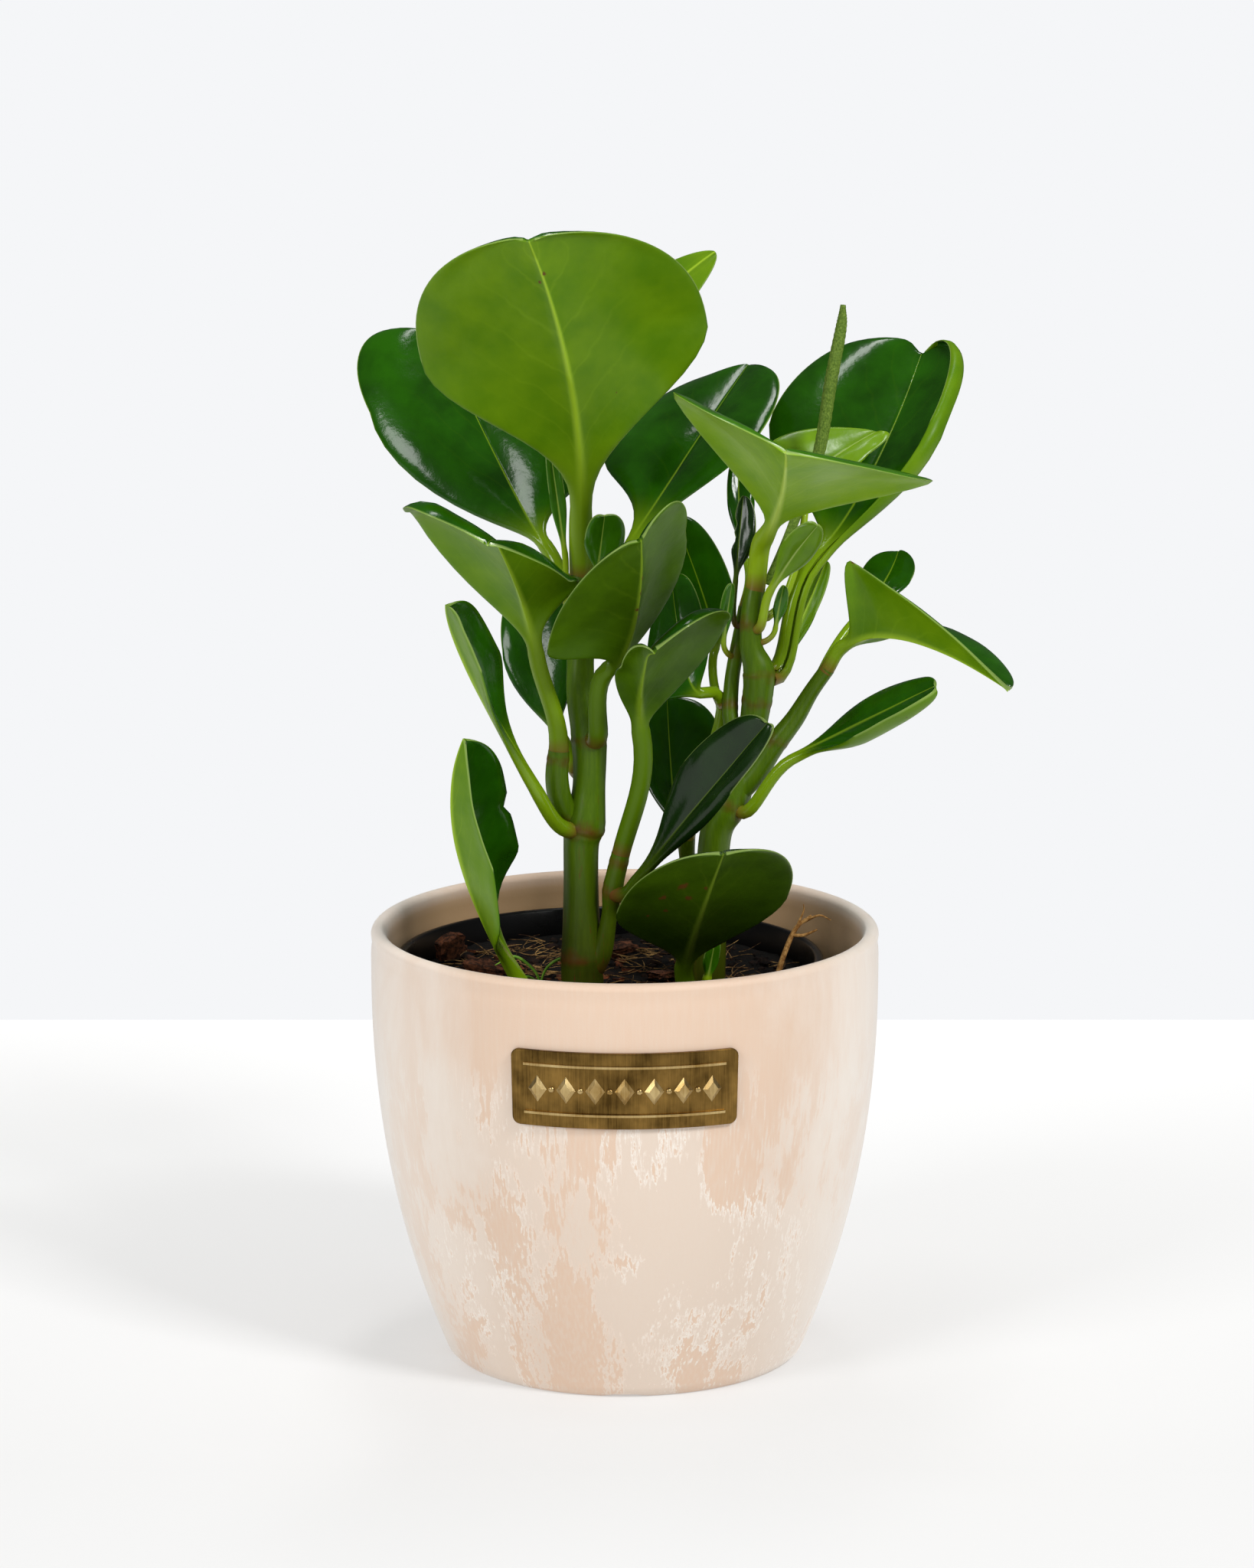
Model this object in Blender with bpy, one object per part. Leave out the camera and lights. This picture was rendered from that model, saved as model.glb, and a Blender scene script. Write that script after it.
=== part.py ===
"""A potted baby rubber plant: a blunt-leaved houseplant in a black nursery pot, stood in a
tapered ceramic cachepot with a small curved brass plate on its front.

Units are metres, +Z is up and the front of the pot faces -Y. The origin is the middle of the
cachepot's flat underside. The plant is laid out in millimetres from the middle of the potting
mix's surface, so it follows the pot when the pot's sizes change.
"""

import math
from collections import namedtuple

import bmesh
import bpy
from mathutils import Vector

# Driving dimensions.
POT_HEIGHT = 0.112
POT_RIM_RADIUS = 0.065
POT_FOOT_RADIUS = 0.0455
POT_WALL = 0.0038
PLANT_HEIGHT = 0.198
STEM_GIRTH = 1.0

# Clearance between neighbouring solids.
GAP = 0.0003

# Cachepot. The wall swells a little above the straight line from foot to rim.
POT_FLOOR = 0.005
POT_SEGMENTS = 48
POT_WALL_STEPS = 9
POT_SHAPE_POWER = 2.1
POT_BAND_HEIGHT = 0.012
FOOT_BEVEL = 0.0008
NOTCH_SIZE = (0.0085, 0.012, 0.0011)

# Brass plate, bent to the wall.
PLATE_ARC = 0.057
PLATE_HEIGHT = 0.0195
PLATE_THICKNESS = 0.0011
PLATE_CORNER = 0.002
PLATE_BELOW_RIM = 0.0268
PLATE_CLEARANCE = 0.0005
PLATE_STRIPS = 14

# Nursery pot, which stands a little to the left inside the cachepot.
NURSERY_BELOW_RIM = 0.008
NURSERY_SIDE_CLEARANCE = 0.0063
NURSERY_SHIFT = -0.004
NURSERY_FOOT_CLEARANCE = 0.0014
NURSERY_WALL = 0.0009
NURSERY_LIP = 0.0014
NURSERY_LIP_HEIGHT = 0.005
NURSERY_DRAIN_RADIUS = 0.005
NURSERY_SEGMENTS = 36

# Potting mix.
SOIL_BELOW_RIM = 0.014

# Plant. Its layout was drawn for this height above the potting mix.
DRAWN_HEIGHT = 0.198
MM = 0.001 * PLANT_HEIGHT / DRAWN_HEIGHT
STEM_SIDES = 10
LEAF_SIDES = 8
LEAF_THICKNESS = 0.0012
LEAF_BOW = 0.05
PETIOLE_STATIONS = (0.0, 0.3, 0.65)
BASE_STATIONS = (0.0, 0.35, 0.58, 0.78)
TIP_ANGLES = (0.0, 28.0, 50.0, 68.0, 81.0)

Stem = namedtuple("Stem", "points radii")
Leaf = namedtuple(
    "Leaf",
    "name stem joint neck middle tip left right petiole curl widest left_power right_power",
    defaults=(0, 0.62, 2.3, 2.3),
)

# Each stem is a list of points on its axis and the radius at each, all in millimetres.
LEFT_STEM = Stem(
    [(-10.5, -21.5, 0.7), (-11, -21, 12), (-11, -20, 26), (-11, -20, 39), (-10, -20, 45),
     (-9, -19, 54), (-9, -18, 66), (-11, -16, 78), (-11, -12, 94), (-11, -9, 106)],
    [5.6, 5.0, 4.5, 4.4, 5.0, 4.1, 4.3, 3.6, 3.1, 2.9],
)
LEFT_SHOOT = Stem(
    [(-13, -20, 45), (-16, -22, 51), (-17, -23, 57), (-16.5, -23, 64)],
    [2.2, 2.9, 2.9, 2.6],
)
MIDDLE_SHOOT = Stem(
    [(-10, -21, 7), (-6, -22, 12), (-4, -23, 21), (-3, -24, 29), (-1, -25, 38)],
    [3.6, 2.8, 2.0, 2.5, 2.3],
)
RIGHT_STEM = Stem(
    [(21.5, -7, 0.6), (22, -8, 20), (23, -8, 39), (27, -8, 48), (31, -6, 60), (33, -5, 70),
     (34, -5, 80), (32, -5, 87), (32, -4, 96), (33, -3, 102)],
    [4.2, 4.1, 4.1, 4.4, 3.7, 3.6, 3.9, 2.9, 2.6, 2.5],
)
RIGHT_BRANCH = Stem(
    [(28, -8, 48), (33, -9, 55), (38, -10, 63), (43, -11, 70), (47, -12, 77), (51, -13, 83)],
    [2.6, 2.9, 2.7, 2.4, 2.0, 1.9],
)
BACK_SHOOT = Stem(
    [(30, -6, 61), (27, -4, 67), (27, -1, 76), (28.5, 1, 86), (30, 3, 96)],
    [1.8, 2.0, 1.9, 1.7, 1.2],
)
THIN_STEM = Stem([(17, 6, 0.4), (17, 6, 18), (16, 5, 30), (16, 3, 36)], [2.2, 2.0, 2.0, 2.0])

# Each leaf: the stem it grows on (None for the potting mix), where its petiole starts (a height
# up the stem, "end" for the stem's end, or a point in the mix), then the start of the blade, the
# midrib's middle, the tip, and the margin's widest points left and right of the midrib as seen
# from the upper side, the petiole's radius, and how far the margins sink towards the tip, all in
# millimetres. Then come the share of the midrib's length at which the blade is widest, and how
# full each half is from there to the tip: 1 is a straight edge, and 2 is an ellipse.
LEAVES = [
    Leaf("leaf_crown", LEFT_STEM, "end",
         (-11, -13, 121), (-15, -40, 168), (-23, -60, 197), (20, -26, 174), (-50, -30, 163), 2.8),
    Leaf("leaf_crown_back", LEFT_STEM, 103,
         (-20, 0, 112), (-34, 14, 135), (-48, 34, 161), (-65, 20, 143), (-10, 9, 134), 1.9),
    Leaf("leaf_crown_rear", LEFT_STEM, 97,
         (-10, -1, 128), (2, 13, 165), (23, 20, 184), (8, 9, 160), (-4, 17, 170), 1.2),
    Leaf("leaf_crown_bud", LEFT_STEM, 98,
         (-15, -11, 112), (-17, -9, 126), (-19, -6, 140), (-19, -9, 127), (-15, -9, 127), 0.8),
    Leaf("leaf_left_cup", LEFT_SHOOT, "end",
         (-22, -30, 90), (-27, -46, 112), (-32, -62, 126), (-12, -40, 112), (-52, -46, 130), 2.1,
         5),
    Leaf("leaf_front_cup", LEFT_STEM, 66,
         (-4, -29, 86), (3, -44, 105), (4, -62, 125), (15, -44, 123), (-19, -44, 94), 2.3),
    Leaf("leaf_left_fold", LEFT_STEM, 43,
         (-22.5, -34, 57), (-38, -46, 89), (-43, -58, 107), (-35, -52, 90), (-31, -37, 92), 1.8,
         0, 0.5),
    Leaf("leaf_left_inner", LEFT_STEM, 57,
         (-16, -11, 65), (-21, -6, 82), (-23, 4, 100), (-31, -4, 86), (-12, -6, 86), 1.6),
    Leaf("leaf_left_low", None, (-26, -24, 0.4),
         (-27, -25, 9), (-41, -37, 42), (-39.5, -46, 71.5), (-31, -47, 39), (-27, -25, 40), 2.2,
         0, 0.45),
    Leaf("leaf_front_low", None, (16, -18, 0.4),
         (15, -20, 8), (19, -38, 26), (24, -60, 46), (41, -38, 31), (-2, -42, 27), 2.4),
    Leaf("leaf_front_bract", None, (21, -16, 0.4),
         (21, -16, 4), (22, -17, 9), (23, -18, 15), (20, -16, 9), (24, -16, 9), 1.2),
    Leaf("leaf_middle_cup", MIDDLE_SHOOT, "end",
         (4, -28, 70), (4, -40, 85), (6, -58, 98), (25, -36, 101), (-2, -40, 90), 2.2),
    Leaf("leaf_centre", THIN_STEM, "end",
         (19.5, -4, 75), (14.5, 0, 85), (12, 10, 102), (6, -3.5, 74), (20.5, 1, 91), 1.5),
    Leaf("leaf_centre_back", BACK_SHOOT, 71,
         (23, 7, 84), (20, 22, 96), (13, 38, 113), (10, 27, 95), (27, 24, 100), 1.1),
    Leaf("leaf_back_tall", LEFT_STEM, 88,
         (0, 4, 109), (19, 22, 136), (32, 42, 152), (-4, 30, 132), (34, 14, 138), 1.9),
    Leaf("leaf_axil_upper", LEFT_STEM, 93,
         (-7, -17, 108), (-6, -18, 115), (-5, -20, 123), (-10, -18, 117), (0, -18, 117), 0.9),
    Leaf("leaf_back_low", THIN_STEM, 26,
         (14, 11, 36), (12, 22, 49), (11, 36, 65), (4, 24, 53), (26, 24, 53), 1.4),
    Leaf("leaf_front_curl", MIDDLE_SHOOT, 28,
         (3, -30, 32), (21, -48, 59), (35, -58, 78), (15, -44, 66), (26, -54, 60), 1.8),
    Leaf("leaf_right_fan", RIGHT_STEM, "end",
         (35, -6, 115), (39, -34, 132), (39, -60, 146), (76, -32, 134), (12, -38, 157), 2.4, 8),
    Leaf("leaf_right_tall", RIGHT_STEM, 79,
         (48, 6, 107), (66, 26, 132), (78, 48, 156), (38, 34, 141), (82, 20, 139), 2.2),
    Leaf("leaf_young", RIGHT_STEM, 94,
         (46, 9, 125), (53, 15, 132), (64, 20, 138), (37, 15, 136), (62, 15, 133), 0.9),
    Leaf("leaf_right_bract", RIGHT_STEM, 91,
         (36.5, -9, 102), (43, -13, 113), (48, -16, 120), (40, -14, 116), (47, -12, 111), 0.9),
    Leaf("leaf_shoot_back", BACK_SHOOT, "end",
         (31, 6, 106), (29, 12, 122), (29, 18, 133), (26, 12, 122), (33, 12, 122), 0.8),
    Leaf("leaf_shoot_dark", BACK_SHOOT, 91,
         (28, 0, 103), (29, 2, 114), (30, 5, 124), (27, 1, 114), (33, 1, 114), 0.7),
    Leaf("leaf_sheath_left", BACK_SHOOT, 83,
         (25, -3, 88), (26, -4, 96), (27, -4, 103), (24, -4, 97), (27.5, -4, 97), 0.7),
    Leaf("leaf_sheath_right", RIGHT_STEM, 88,
         (38, -6, 92), (39, -6, 98), (40, -6, 103), (37.5, -6, 98), (41, -6, 98), 0.7),
    Leaf("leaf_right_sliver", RIGHT_STEM, 73,
         (38, 5, 78), (46, 16, 91), (52, 27, 103), (49, 17, 92), (43, 19, 91), 0.9),
    Leaf("leaf_branch_round", RIGHT_BRANCH, 80,
         (58, 2, 92), (67, 12, 102), (70, 20, 107), (60, 12, 103), (73, 12, 101), 1.2),
    Leaf("leaf_branch_long", RIGHT_BRANCH, "end",
         (55, -14, 89), (66, -20, 93), (95, -40, 83), (74, -9, 94), (56, -22, 112), 1.8,
         0, 0.35, 2.3, 1.05),
    Leaf("leaf_branch_low", RIGHT_STEM, 47,
         (42, -15, 60), (58, -22, 68), (77, -33, 82), (60.5, -16, 76), (57, -30, 70), 1.5, 0, 0.5),
]

# Flower spike: points on its axis and radii, in millimetres from the middle of the mix.
SPIKE = Stem(
    [(36, 1, 102), (40.5, 2, 112), (44, 3, 121), (49, 5, 135), (52, 7, 153), (54.5, 9, 166),
     (55, 9, 172)],
    [1.1, 1.2, 1.3, 1.5, 1.6, 1.4, 0.7],
)
# A dry root that sticks out of the mix at the right, with its fork.
DRY_ROOT = Stem([(39, 2, 0.9), (41, 4, 5), (44, 7, 11), (48, 9, 14)], [0.7, 0.7, 0.6, 0.5])
DRY_ROOT_FORK = Stem([(43.5, 6.5, 10), (46, 6, 9.5), (49.5, 6, 11)], [0.5, 0.5, 0.4])
# Bark chips: name, middle, size and turn about the vertical, in millimetres and degrees.
CHIPS = [
    ("bark_chip_left", (-45, 19, 3.5), (7, 3.5, 6), 35),
    ("bark_chip_front", (-36, 4, 1.6), (10, 5, 2.4), -20),
    ("bark_chip_right", (10, -2, 1.2), (8, 4, 1.6), 40),
    ("bark_chip_middle", (-2, 25, 1.4), (9, 5, 2.0), 15),
]
SPROUT = Stem([(-21, -10, 0.7), (-23, -10, 4), (-28, -11, 8), (-33, -12, 6)], [0.5, 0.5, 0.6, 0.4])


# Materials --------------------------------------------------------------------------------


def material(name, colour, roughness, metallic=0.0):
    made = bpy.data.materials.new(name)
    made.use_nodes = True
    shader = made.node_tree.nodes["Principled BSDF"]
    shader.inputs["Base Color"].default_value = (*colour, 1.0)
    shader.inputs["Roughness"].default_value = roughness
    shader.inputs["Metallic"].default_value = metallic
    made.diffuse_color = (*colour, 1.0)
    return made


# Mesh helpers -----------------------------------------------------------------------------


def finish(name, bm, surface, smooth=True):
    """Makes a named object of a bmesh, with its faces turned outward."""
    bm.normal_update()
    bmesh.ops.recalc_face_normals(bm, faces=bm.faces)
    mesh = bpy.data.meshes.new(name)
    bm.to_mesh(mesh)
    bm.free()
    if smooth:
        mesh.shade_smooth()
        mesh.set_sharp_from_angle(angle=math.radians(40))
    made = bpy.data.objects.new(name, mesh)
    bpy.context.scene.collection.objects.link(made)
    made.data.materials.append(surface)
    return made


def skin(rings):
    """Bends a flat grid into a closed skin over rings of equal length, and caps both ends."""
    around = len(rings[0])
    bm = bmesh.new()
    bmesh.ops.create_grid(bm, x_segments=around, y_segments=len(rings) - 1, size=1.0)
    bm.verts.ensure_lookup_table()
    for index, vertex in enumerate(bm.verts):
        row, column = divmod(index, around + 1)
        vertex.co = rings[row][column % around]
    bmesh.ops.remove_doubles(bm, verts=bm.verts, dist=1e-7)
    rims = [edge for edge in bm.edges if edge.is_boundary]
    bmesh.ops.holes_fill(bm, edges=rims, sides=0)
    return bm


def turned(profile, segments, middle=(0.0, 0.0)):
    """Spins an open profile of (radius, height) points, top to bottom round its outer side."""
    bm = bmesh.new()
    corners = [bm.verts.new((radius, 0.0, height)) for radius, height in profile]
    for start, end in zip(corners, corners[1:]):
        bm.edges.new((start, end))
    bmesh.ops.spin(
        bm,
        geom=list(bm.verts) + list(bm.edges),
        cent=(0.0, 0.0, 0.0),
        axis=(0.0, 0.0, 1.0),
        angle=math.tau,
        steps=segments,
        use_merge=True,
    )
    bmesh.ops.remove_doubles(bm, verts=bm.verts, dist=1e-6)
    bmesh.ops.translate(bm, verts=bm.verts, vec=(*middle, 0.0))
    return bm


def join(target, others):
    """Unites grown-together solids into the first one."""
    for other in others:
        union = target.modifiers.new("Union with " + other.name, "BOOLEAN")
        union.operation = "UNION"
        union.object = other
        other.hide_render = True
        other.display_type = "WIRE"


# Cachepot, plate, nursery pot and mix -------------------------------------------------------


def wall_radius(height):
    """Outer radius of the cachepot's wall: it flares from the foot and runs upright at the rim."""
    share = max(0.0, 1.0 - height / (POT_HEIGHT - POT_BAND_HEIGHT))
    return POT_RIM_RADIUS - (POT_RIM_RADIUS - POT_FOOT_RADIUS) * share**POT_SHAPE_POWER * (
        1.0 - 0.1 * (1.0 - share)
    )


def lip_arc(steps=5):
    """Half-round lip of the cachepot, from its outer side over the top to its inner side."""
    middle = POT_RIM_RADIUS - POT_WALL / 2
    for step in range(steps + 1):
        angle = math.pi * step / steps
        yield (
            middle + POT_WALL / 2 * math.cos(angle),
            POT_HEIGHT - POT_WALL / 2 * (1.0 - math.sin(angle)),
        )


def build_cachepot(surface):
    top = POT_HEIGHT - POT_WALL / 2
    heights = [top * (step / POT_WALL_STEPS) ** 0.9 for step in range(1, POT_WALL_STEPS)]
    outside = [(wall_radius(height), height) for height in heights]
    inside = [(radius - POT_WALL, height) for radius, height in outside if height > 2 * POT_FLOOR]
    profile = [(0.0, 0.0), (POT_FOOT_RADIUS - FOOT_BEVEL, 0.0), (POT_FOOT_RADIUS, FOOT_BEVEL)]
    profile += outside
    profile += list(lip_arc())
    profile += inside[::-1]
    profile += [(wall_radius(POT_FLOOR) - 2 * POT_WALL, POT_FLOOR), (0.0, POT_FLOOR)]
    pot = finish("outer_pot", turned(profile, POT_SEGMENTS), surface)
    cutter_mesh = bmesh.new()
    bmesh.ops.create_cube(cutter_mesh, size=1.0)
    bmesh.ops.scale(cutter_mesh, vec=NOTCH_SIZE, verts=cutter_mesh.verts)
    bmesh.ops.translate(cutter_mesh, vec=(0.0, -POT_FOOT_RADIUS, 0.0), verts=cutter_mesh.verts)
    cutter = finish("foot_notch_cutter", cutter_mesh, surface, smooth=False)
    cutter.hide_render = True
    cutter.display_type = "WIRE"
    cut = pot.modifiers.new("Foot notch", "BOOLEAN")
    cut.operation = "DIFFERENCE"
    cut.object = cutter
    return pot


def build_plate(surface):
    """A flat plate with round corners, cut into upright strips and bent round the wall."""
    bm = bmesh.new()
    bmesh.ops.create_cube(bm, size=1.0)
    bmesh.ops.scale(bm, vec=(PLATE_ARC, PLATE_THICKNESS, PLATE_HEIGHT), verts=bm.verts)
    corners = [
        edge
        for edge in bm.edges
        if abs(edge.verts[0].co.y - edge.verts[1].co.y) > PLATE_THICKNESS / 2
    ]
    bmesh.ops.bevel(
        bm,
        geom=corners,
        offset=PLATE_CORNER,
        offset_type="OFFSET",
        affect="EDGES",
        segments=3,
        profile=0.5,
        material=-1,
    )
    for strip in range(1, PLATE_STRIPS):
        place = PLATE_ARC * (strip / PLATE_STRIPS - 0.5)
        bmesh.ops.bisect_plane(
            bm,
            geom=list(bm.verts) + list(bm.edges) + list(bm.faces),
            plane_co=(place, 0.0, 0.0),
            plane_no=(1.0, 0.0, 0.0),
        )
    middle = POT_HEIGHT - PLATE_BELOW_RIM
    for vertex in bm.verts:
        height = middle + vertex.co.z
        out = wall_radius(height) + PLATE_CLEARANCE + vertex.co.y + PLATE_THICKNESS / 2
        angle = vertex.co.x / wall_radius(middle) - math.pi / 2
        vertex.co = (out * math.cos(angle), out * math.sin(angle), height)
    return finish("nameplate", bm, surface)


def nursery_heights(top):
    """Heights at which the nursery pot's wall turns, from its underside up to the given top."""
    bottom = POT_FLOOR + GAP
    return [bottom + (top - bottom) * share for share in (0.0, 0.04, 0.12, 0.35, 0.65, 1.0)]


def nursery_radius(height):
    """Outer radius of the nursery pot's wall under its lip."""
    top = POT_HEIGHT - NURSERY_BELOW_RIM
    rim = POT_RIM_RADIUS - POT_WALL - NURSERY_SIDE_CLEARANCE - NURSERY_LIP
    foot = wall_radius(POT_FLOOR) - 2 * POT_WALL - abs(NURSERY_SHIFT) - NURSERY_FOOT_CLEARANCE
    bottom = POT_FLOOR + GAP
    return foot + (rim - foot) * ((height - bottom) / (top - bottom)) ** 0.6


def build_nursery_pot(surface):
    bottom = POT_FLOOR + GAP
    top = POT_HEIGHT - NURSERY_BELOW_RIM
    under_lip = top - NURSERY_LIP_HEIGHT
    heights = nursery_heights(under_lip)
    outside = [(nursery_radius(height), height) for height in heights]
    lip = [
        (nursery_radius(under_lip) + NURSERY_LIP, under_lip + NURSERY_LIP / 2),
        (nursery_radius(top) + NURSERY_LIP, top),
        (nursery_radius(top) - NURSERY_WALL, top),
    ]
    inside = [(nursery_radius(height) - NURSERY_WALL, height) for height in heights[:0:-1]]
    inside.append((nursery_radius(bottom) - NURSERY_WALL, bottom + NURSERY_WALL))
    drain_top = (NURSERY_DRAIN_RADIUS, bottom + NURSERY_WALL)
    profile = [(NURSERY_DRAIN_RADIUS, bottom)] + outside + lip + inside + [drain_top]
    profile.append(profile[0])
    bm = turned(profile, NURSERY_SEGMENTS, middle=(NURSERY_SHIFT, 0.0))
    return finish("nursery_pot", bm, surface)


def build_mix(surface):
    inset = NURSERY_WALL + 2 * GAP
    top = POT_HEIGHT - SOIL_BELOW_RIM
    heights = nursery_heights(POT_HEIGHT - NURSERY_BELOW_RIM - NURSERY_LIP_HEIGHT)
    side = [(nursery_radius(height) - inset, height) for height in heights if height < top]
    side[0] = (side[0][0], POT_FLOOR + GAP + inset)
    profile = [(0.0, side[0][1])] + side + [(nursery_radius(top) - inset, top), (0.0, top)]
    bm = turned(profile, NURSERY_SEGMENTS, middle=(NURSERY_SHIFT, 0.0))
    return finish("potting_mix", bm, surface)


# Plant --------------------------------------------------------------------------------------


def planted(point):
    """A drawn point in millimetres, placed from the middle of the mix's surface."""
    return Vector(point) * MM + Vector((0.0, 0.0, POT_HEIGHT - SOIL_BELOW_RIM))


def catmull(before, start, end, after, share):
    """A point on the smooth curve from start to end, given the points before and after them."""
    return 0.5 * (
        2 * start
        + (end - before) * share
        + (2 * before - 5 * start + 4 * end - after) * share**2
        + (3 * start - before - 3 * end + after) * share**3
    )


def stem_axis(stem, steps=2):
    """Points and radii along a stem, with each drawn stretch cut into equal steps."""
    points = [planted(point) for point in stem.points]
    radii = [radius * MM * STEM_GIRTH for radius in stem.radii]
    points = [2 * points[0] - points[1]] + points + [2 * points[-1] - points[-2]]
    radii = [radii[0]] + radii + [radii[-1]]
    axis = []
    for index in range(1, len(points) - 2):
        for step in range(steps):
            share = step / steps
            centre = catmull(*points[index - 1 : index + 3], share)
            axis.append((centre, catmull(*radii[index - 1 : index + 3], share)))
    axis.append((points[-2], radii[-2]))
    return axis


def tube_rings(axis, sides):
    """Rings square to an axis, kept from twisting by one fixed sideways direction."""
    rings = []
    for index, (centre, radius) in enumerate(axis):
        ahead = axis[min(index + 1, len(axis) - 1)][0]
        behind = axis[max(index - 1, 0)][0]
        along = (ahead - behind).normalized()
        across = along.cross(Vector((0.0, 1.0, 0.0))).normalized()
        other = along.cross(across)
        rings.append(
            [
                centre
                + radius * math.cos(math.tau * side / sides) * across
                + radius * math.sin(math.tau * side / sides) * other
                for side in range(sides)
            ]
        )
    return rings


def build_tube(name, stem, surface, sides=STEM_SIDES, steps=2):
    return finish(name, skin(tube_rings(stem_axis(stem, steps), sides)), surface)


def joint_on(stem, height, towards):
    """Where a petiole leaves a stem: its start, and the direction straight out of the stem."""
    axis = stem_axis(stem, steps=8)
    if height == "end":
        along = (axis[-1][0] - axis[-2][0]).normalized()
        return axis[-1][0] + along * GAP, along
    level = planted((0.0, 0.0, height)).z
    index = min(range(1, len(axis) - 1), key=lambda near: abs(axis[near][0].z - level))
    centre, radius = axis[index]
    along = (axis[index + 1][0] - axis[index - 1][0]).normalized()
    out = towards - centre
    out = (out - along * out.dot(along)).normalized()
    return centre + out * (radius + GAP), out


def half_width(share):
    """Share of the full width on the narrowing base of a blade, 0 at its start and 1 at its widest."""
    return ((1.0 - math.cos(math.pi * share)) / 2) ** 1.5


def leaf_stations(leaf):
    """(place along the midrib, shares of the full width left and right) from neck to tip."""
    widest = leaf.widest
    stations = [
        (widest * share, half_width(share), half_width(share)) for share in BASE_STATIONS
    ]
    for angle in TIP_ANGLES:
        place = math.sin(math.radians(angle))
        widths = [(1.0 - place**power) ** (1 / power) for power in leaf[11:13]]
        stations.append((widest + (1.0 - widest) * place, *widths))
    return stations


def ring_across(centre, left, right, upward, thick):
    """One closed ring across a blade or petiole, from the right margin over the upper side."""
    ring = []
    for side in range(LEAF_SIDES):
        angle = math.tau * side / LEAF_SIDES
        reach = math.cos(angle)
        margin = right if reach > 0.0 else left
        bow = LEAF_BOW * 4 * abs(reach) * (1.0 - abs(reach)) * margin.length
        lift = thick * math.sin(angle) + bow
        ring.append(centre + margin * abs(reach) + upward * lift)
    return ring


def leaf_rings(leaf):
    """Rings from the foot of the petiole to the tip of the blade, along a curved midrib."""
    neck, middle, tip, left, right = (planted(point) for point in leaf[3:8])
    radius = leaf.petiole * MM
    widest = leaf.widest
    control = (middle - neck * (1 - widest) ** 2 - tip * widest**2) / (2 * widest * (1 - widest))
    blade_start = (control - neck).normalized()
    if leaf.stem is None:
        foot, out = planted(leaf.joint), Vector((0.0, 0.0, 1.0))
    else:
        foot, out = joint_on(leaf.stem, leaf.joint, neck)
    span = (neck - foot).length
    if leaf.joint != "end" and leaf.stem is not None:
        handle = foot + out * max(2.2 * radius, 0.3 * span)
    else:
        handle = foot + out * 0.35 * span
    handles = (foot, handle, neck - blade_start * 0.4 * span, neck)

    def square_side(along):
        side = right - left
        return (side - along * side.dot(along)).normalized()

    rings = []
    for share in PETIOLE_STATIONS:
        centre = bezier(handles, share)
        along = (bezier(handles, share + 0.02) - bezier(handles, share)).normalized()
        side = square_side(along)
        upward = side.cross(along)
        rings.append(ring_across(centre, -side * radius, side * radius, upward, radius))
    for place, *widths in leaf_stations(leaf):
        centre = neck * (1 - place) ** 2 + control * 2 * place * (1 - place) + tip * place**2
        along = ((control - neck) * (1 - place) + (tip - control) * place).normalized()
        side = square_side(along)
        share = min(1.0, place / widest)
        margins = []
        spans = ((-side, left - middle, widths[0]), (side, right - middle, widths[1]))
        for square, margin, width in spans:
            heading = square.lerp(margin.normalized(), share).normalized()
            margins.append(heading * (radius * (1 - share) + margin.length * width))
        upward = (margins[1] - margins[0]).cross(along).normalized()
        sink = upward * leaf.curl * MM * max(widths) * (place - widest) / (1 - widest)
        margins = [margin - sink for margin in margins]
        thick = LEAF_THICKNESS / 2 + (radius - LEAF_THICKNESS / 2) * (1 - share) ** 3
        rings.append(ring_across(centre, margins[0], margins[1], upward, thick))
    return rings


def bezier(handles, share):
    """A point on the curve that four handles give."""
    first, second, third, fourth = handles
    rest = 1.0 - share
    return (
        first * rest**3
        + second * 3 * rest**2 * share
        + third * 3 * rest * share**2
        + fourth * share**3
    )


def build_leaf(leaf, surface):
    return finish(leaf.name, skin(leaf_rings(leaf)), surface)


def build_chip(name, middle, size, turn, surface):
    """A bark chip: a block with its edges cut off and one end drawn in."""
    bm = bmesh.new()
    bmesh.ops.create_cube(bm, size=1.0)
    for vertex in bm.verts:
        if vertex.co.x > 0:
            vertex.co.y *= 0.6
            vertex.co.z *= 0.7
    bmesh.ops.scale(bm, vec=[side * MM for side in size], verts=bm.verts)
    bmesh.ops.bevel(
        bm,
        geom=list(bm.edges),
        offset=0.3 * MM,
        offset_type="OFFSET",
        affect="EDGES",
        segments=1,
        profile=0.5,
        material=-1,
    )
    made = finish(name, bm, surface, smooth=False)
    made.location = planted(middle)
    made.rotation_euler = (0.0, 0.0, math.radians(turn))
    return made


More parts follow.
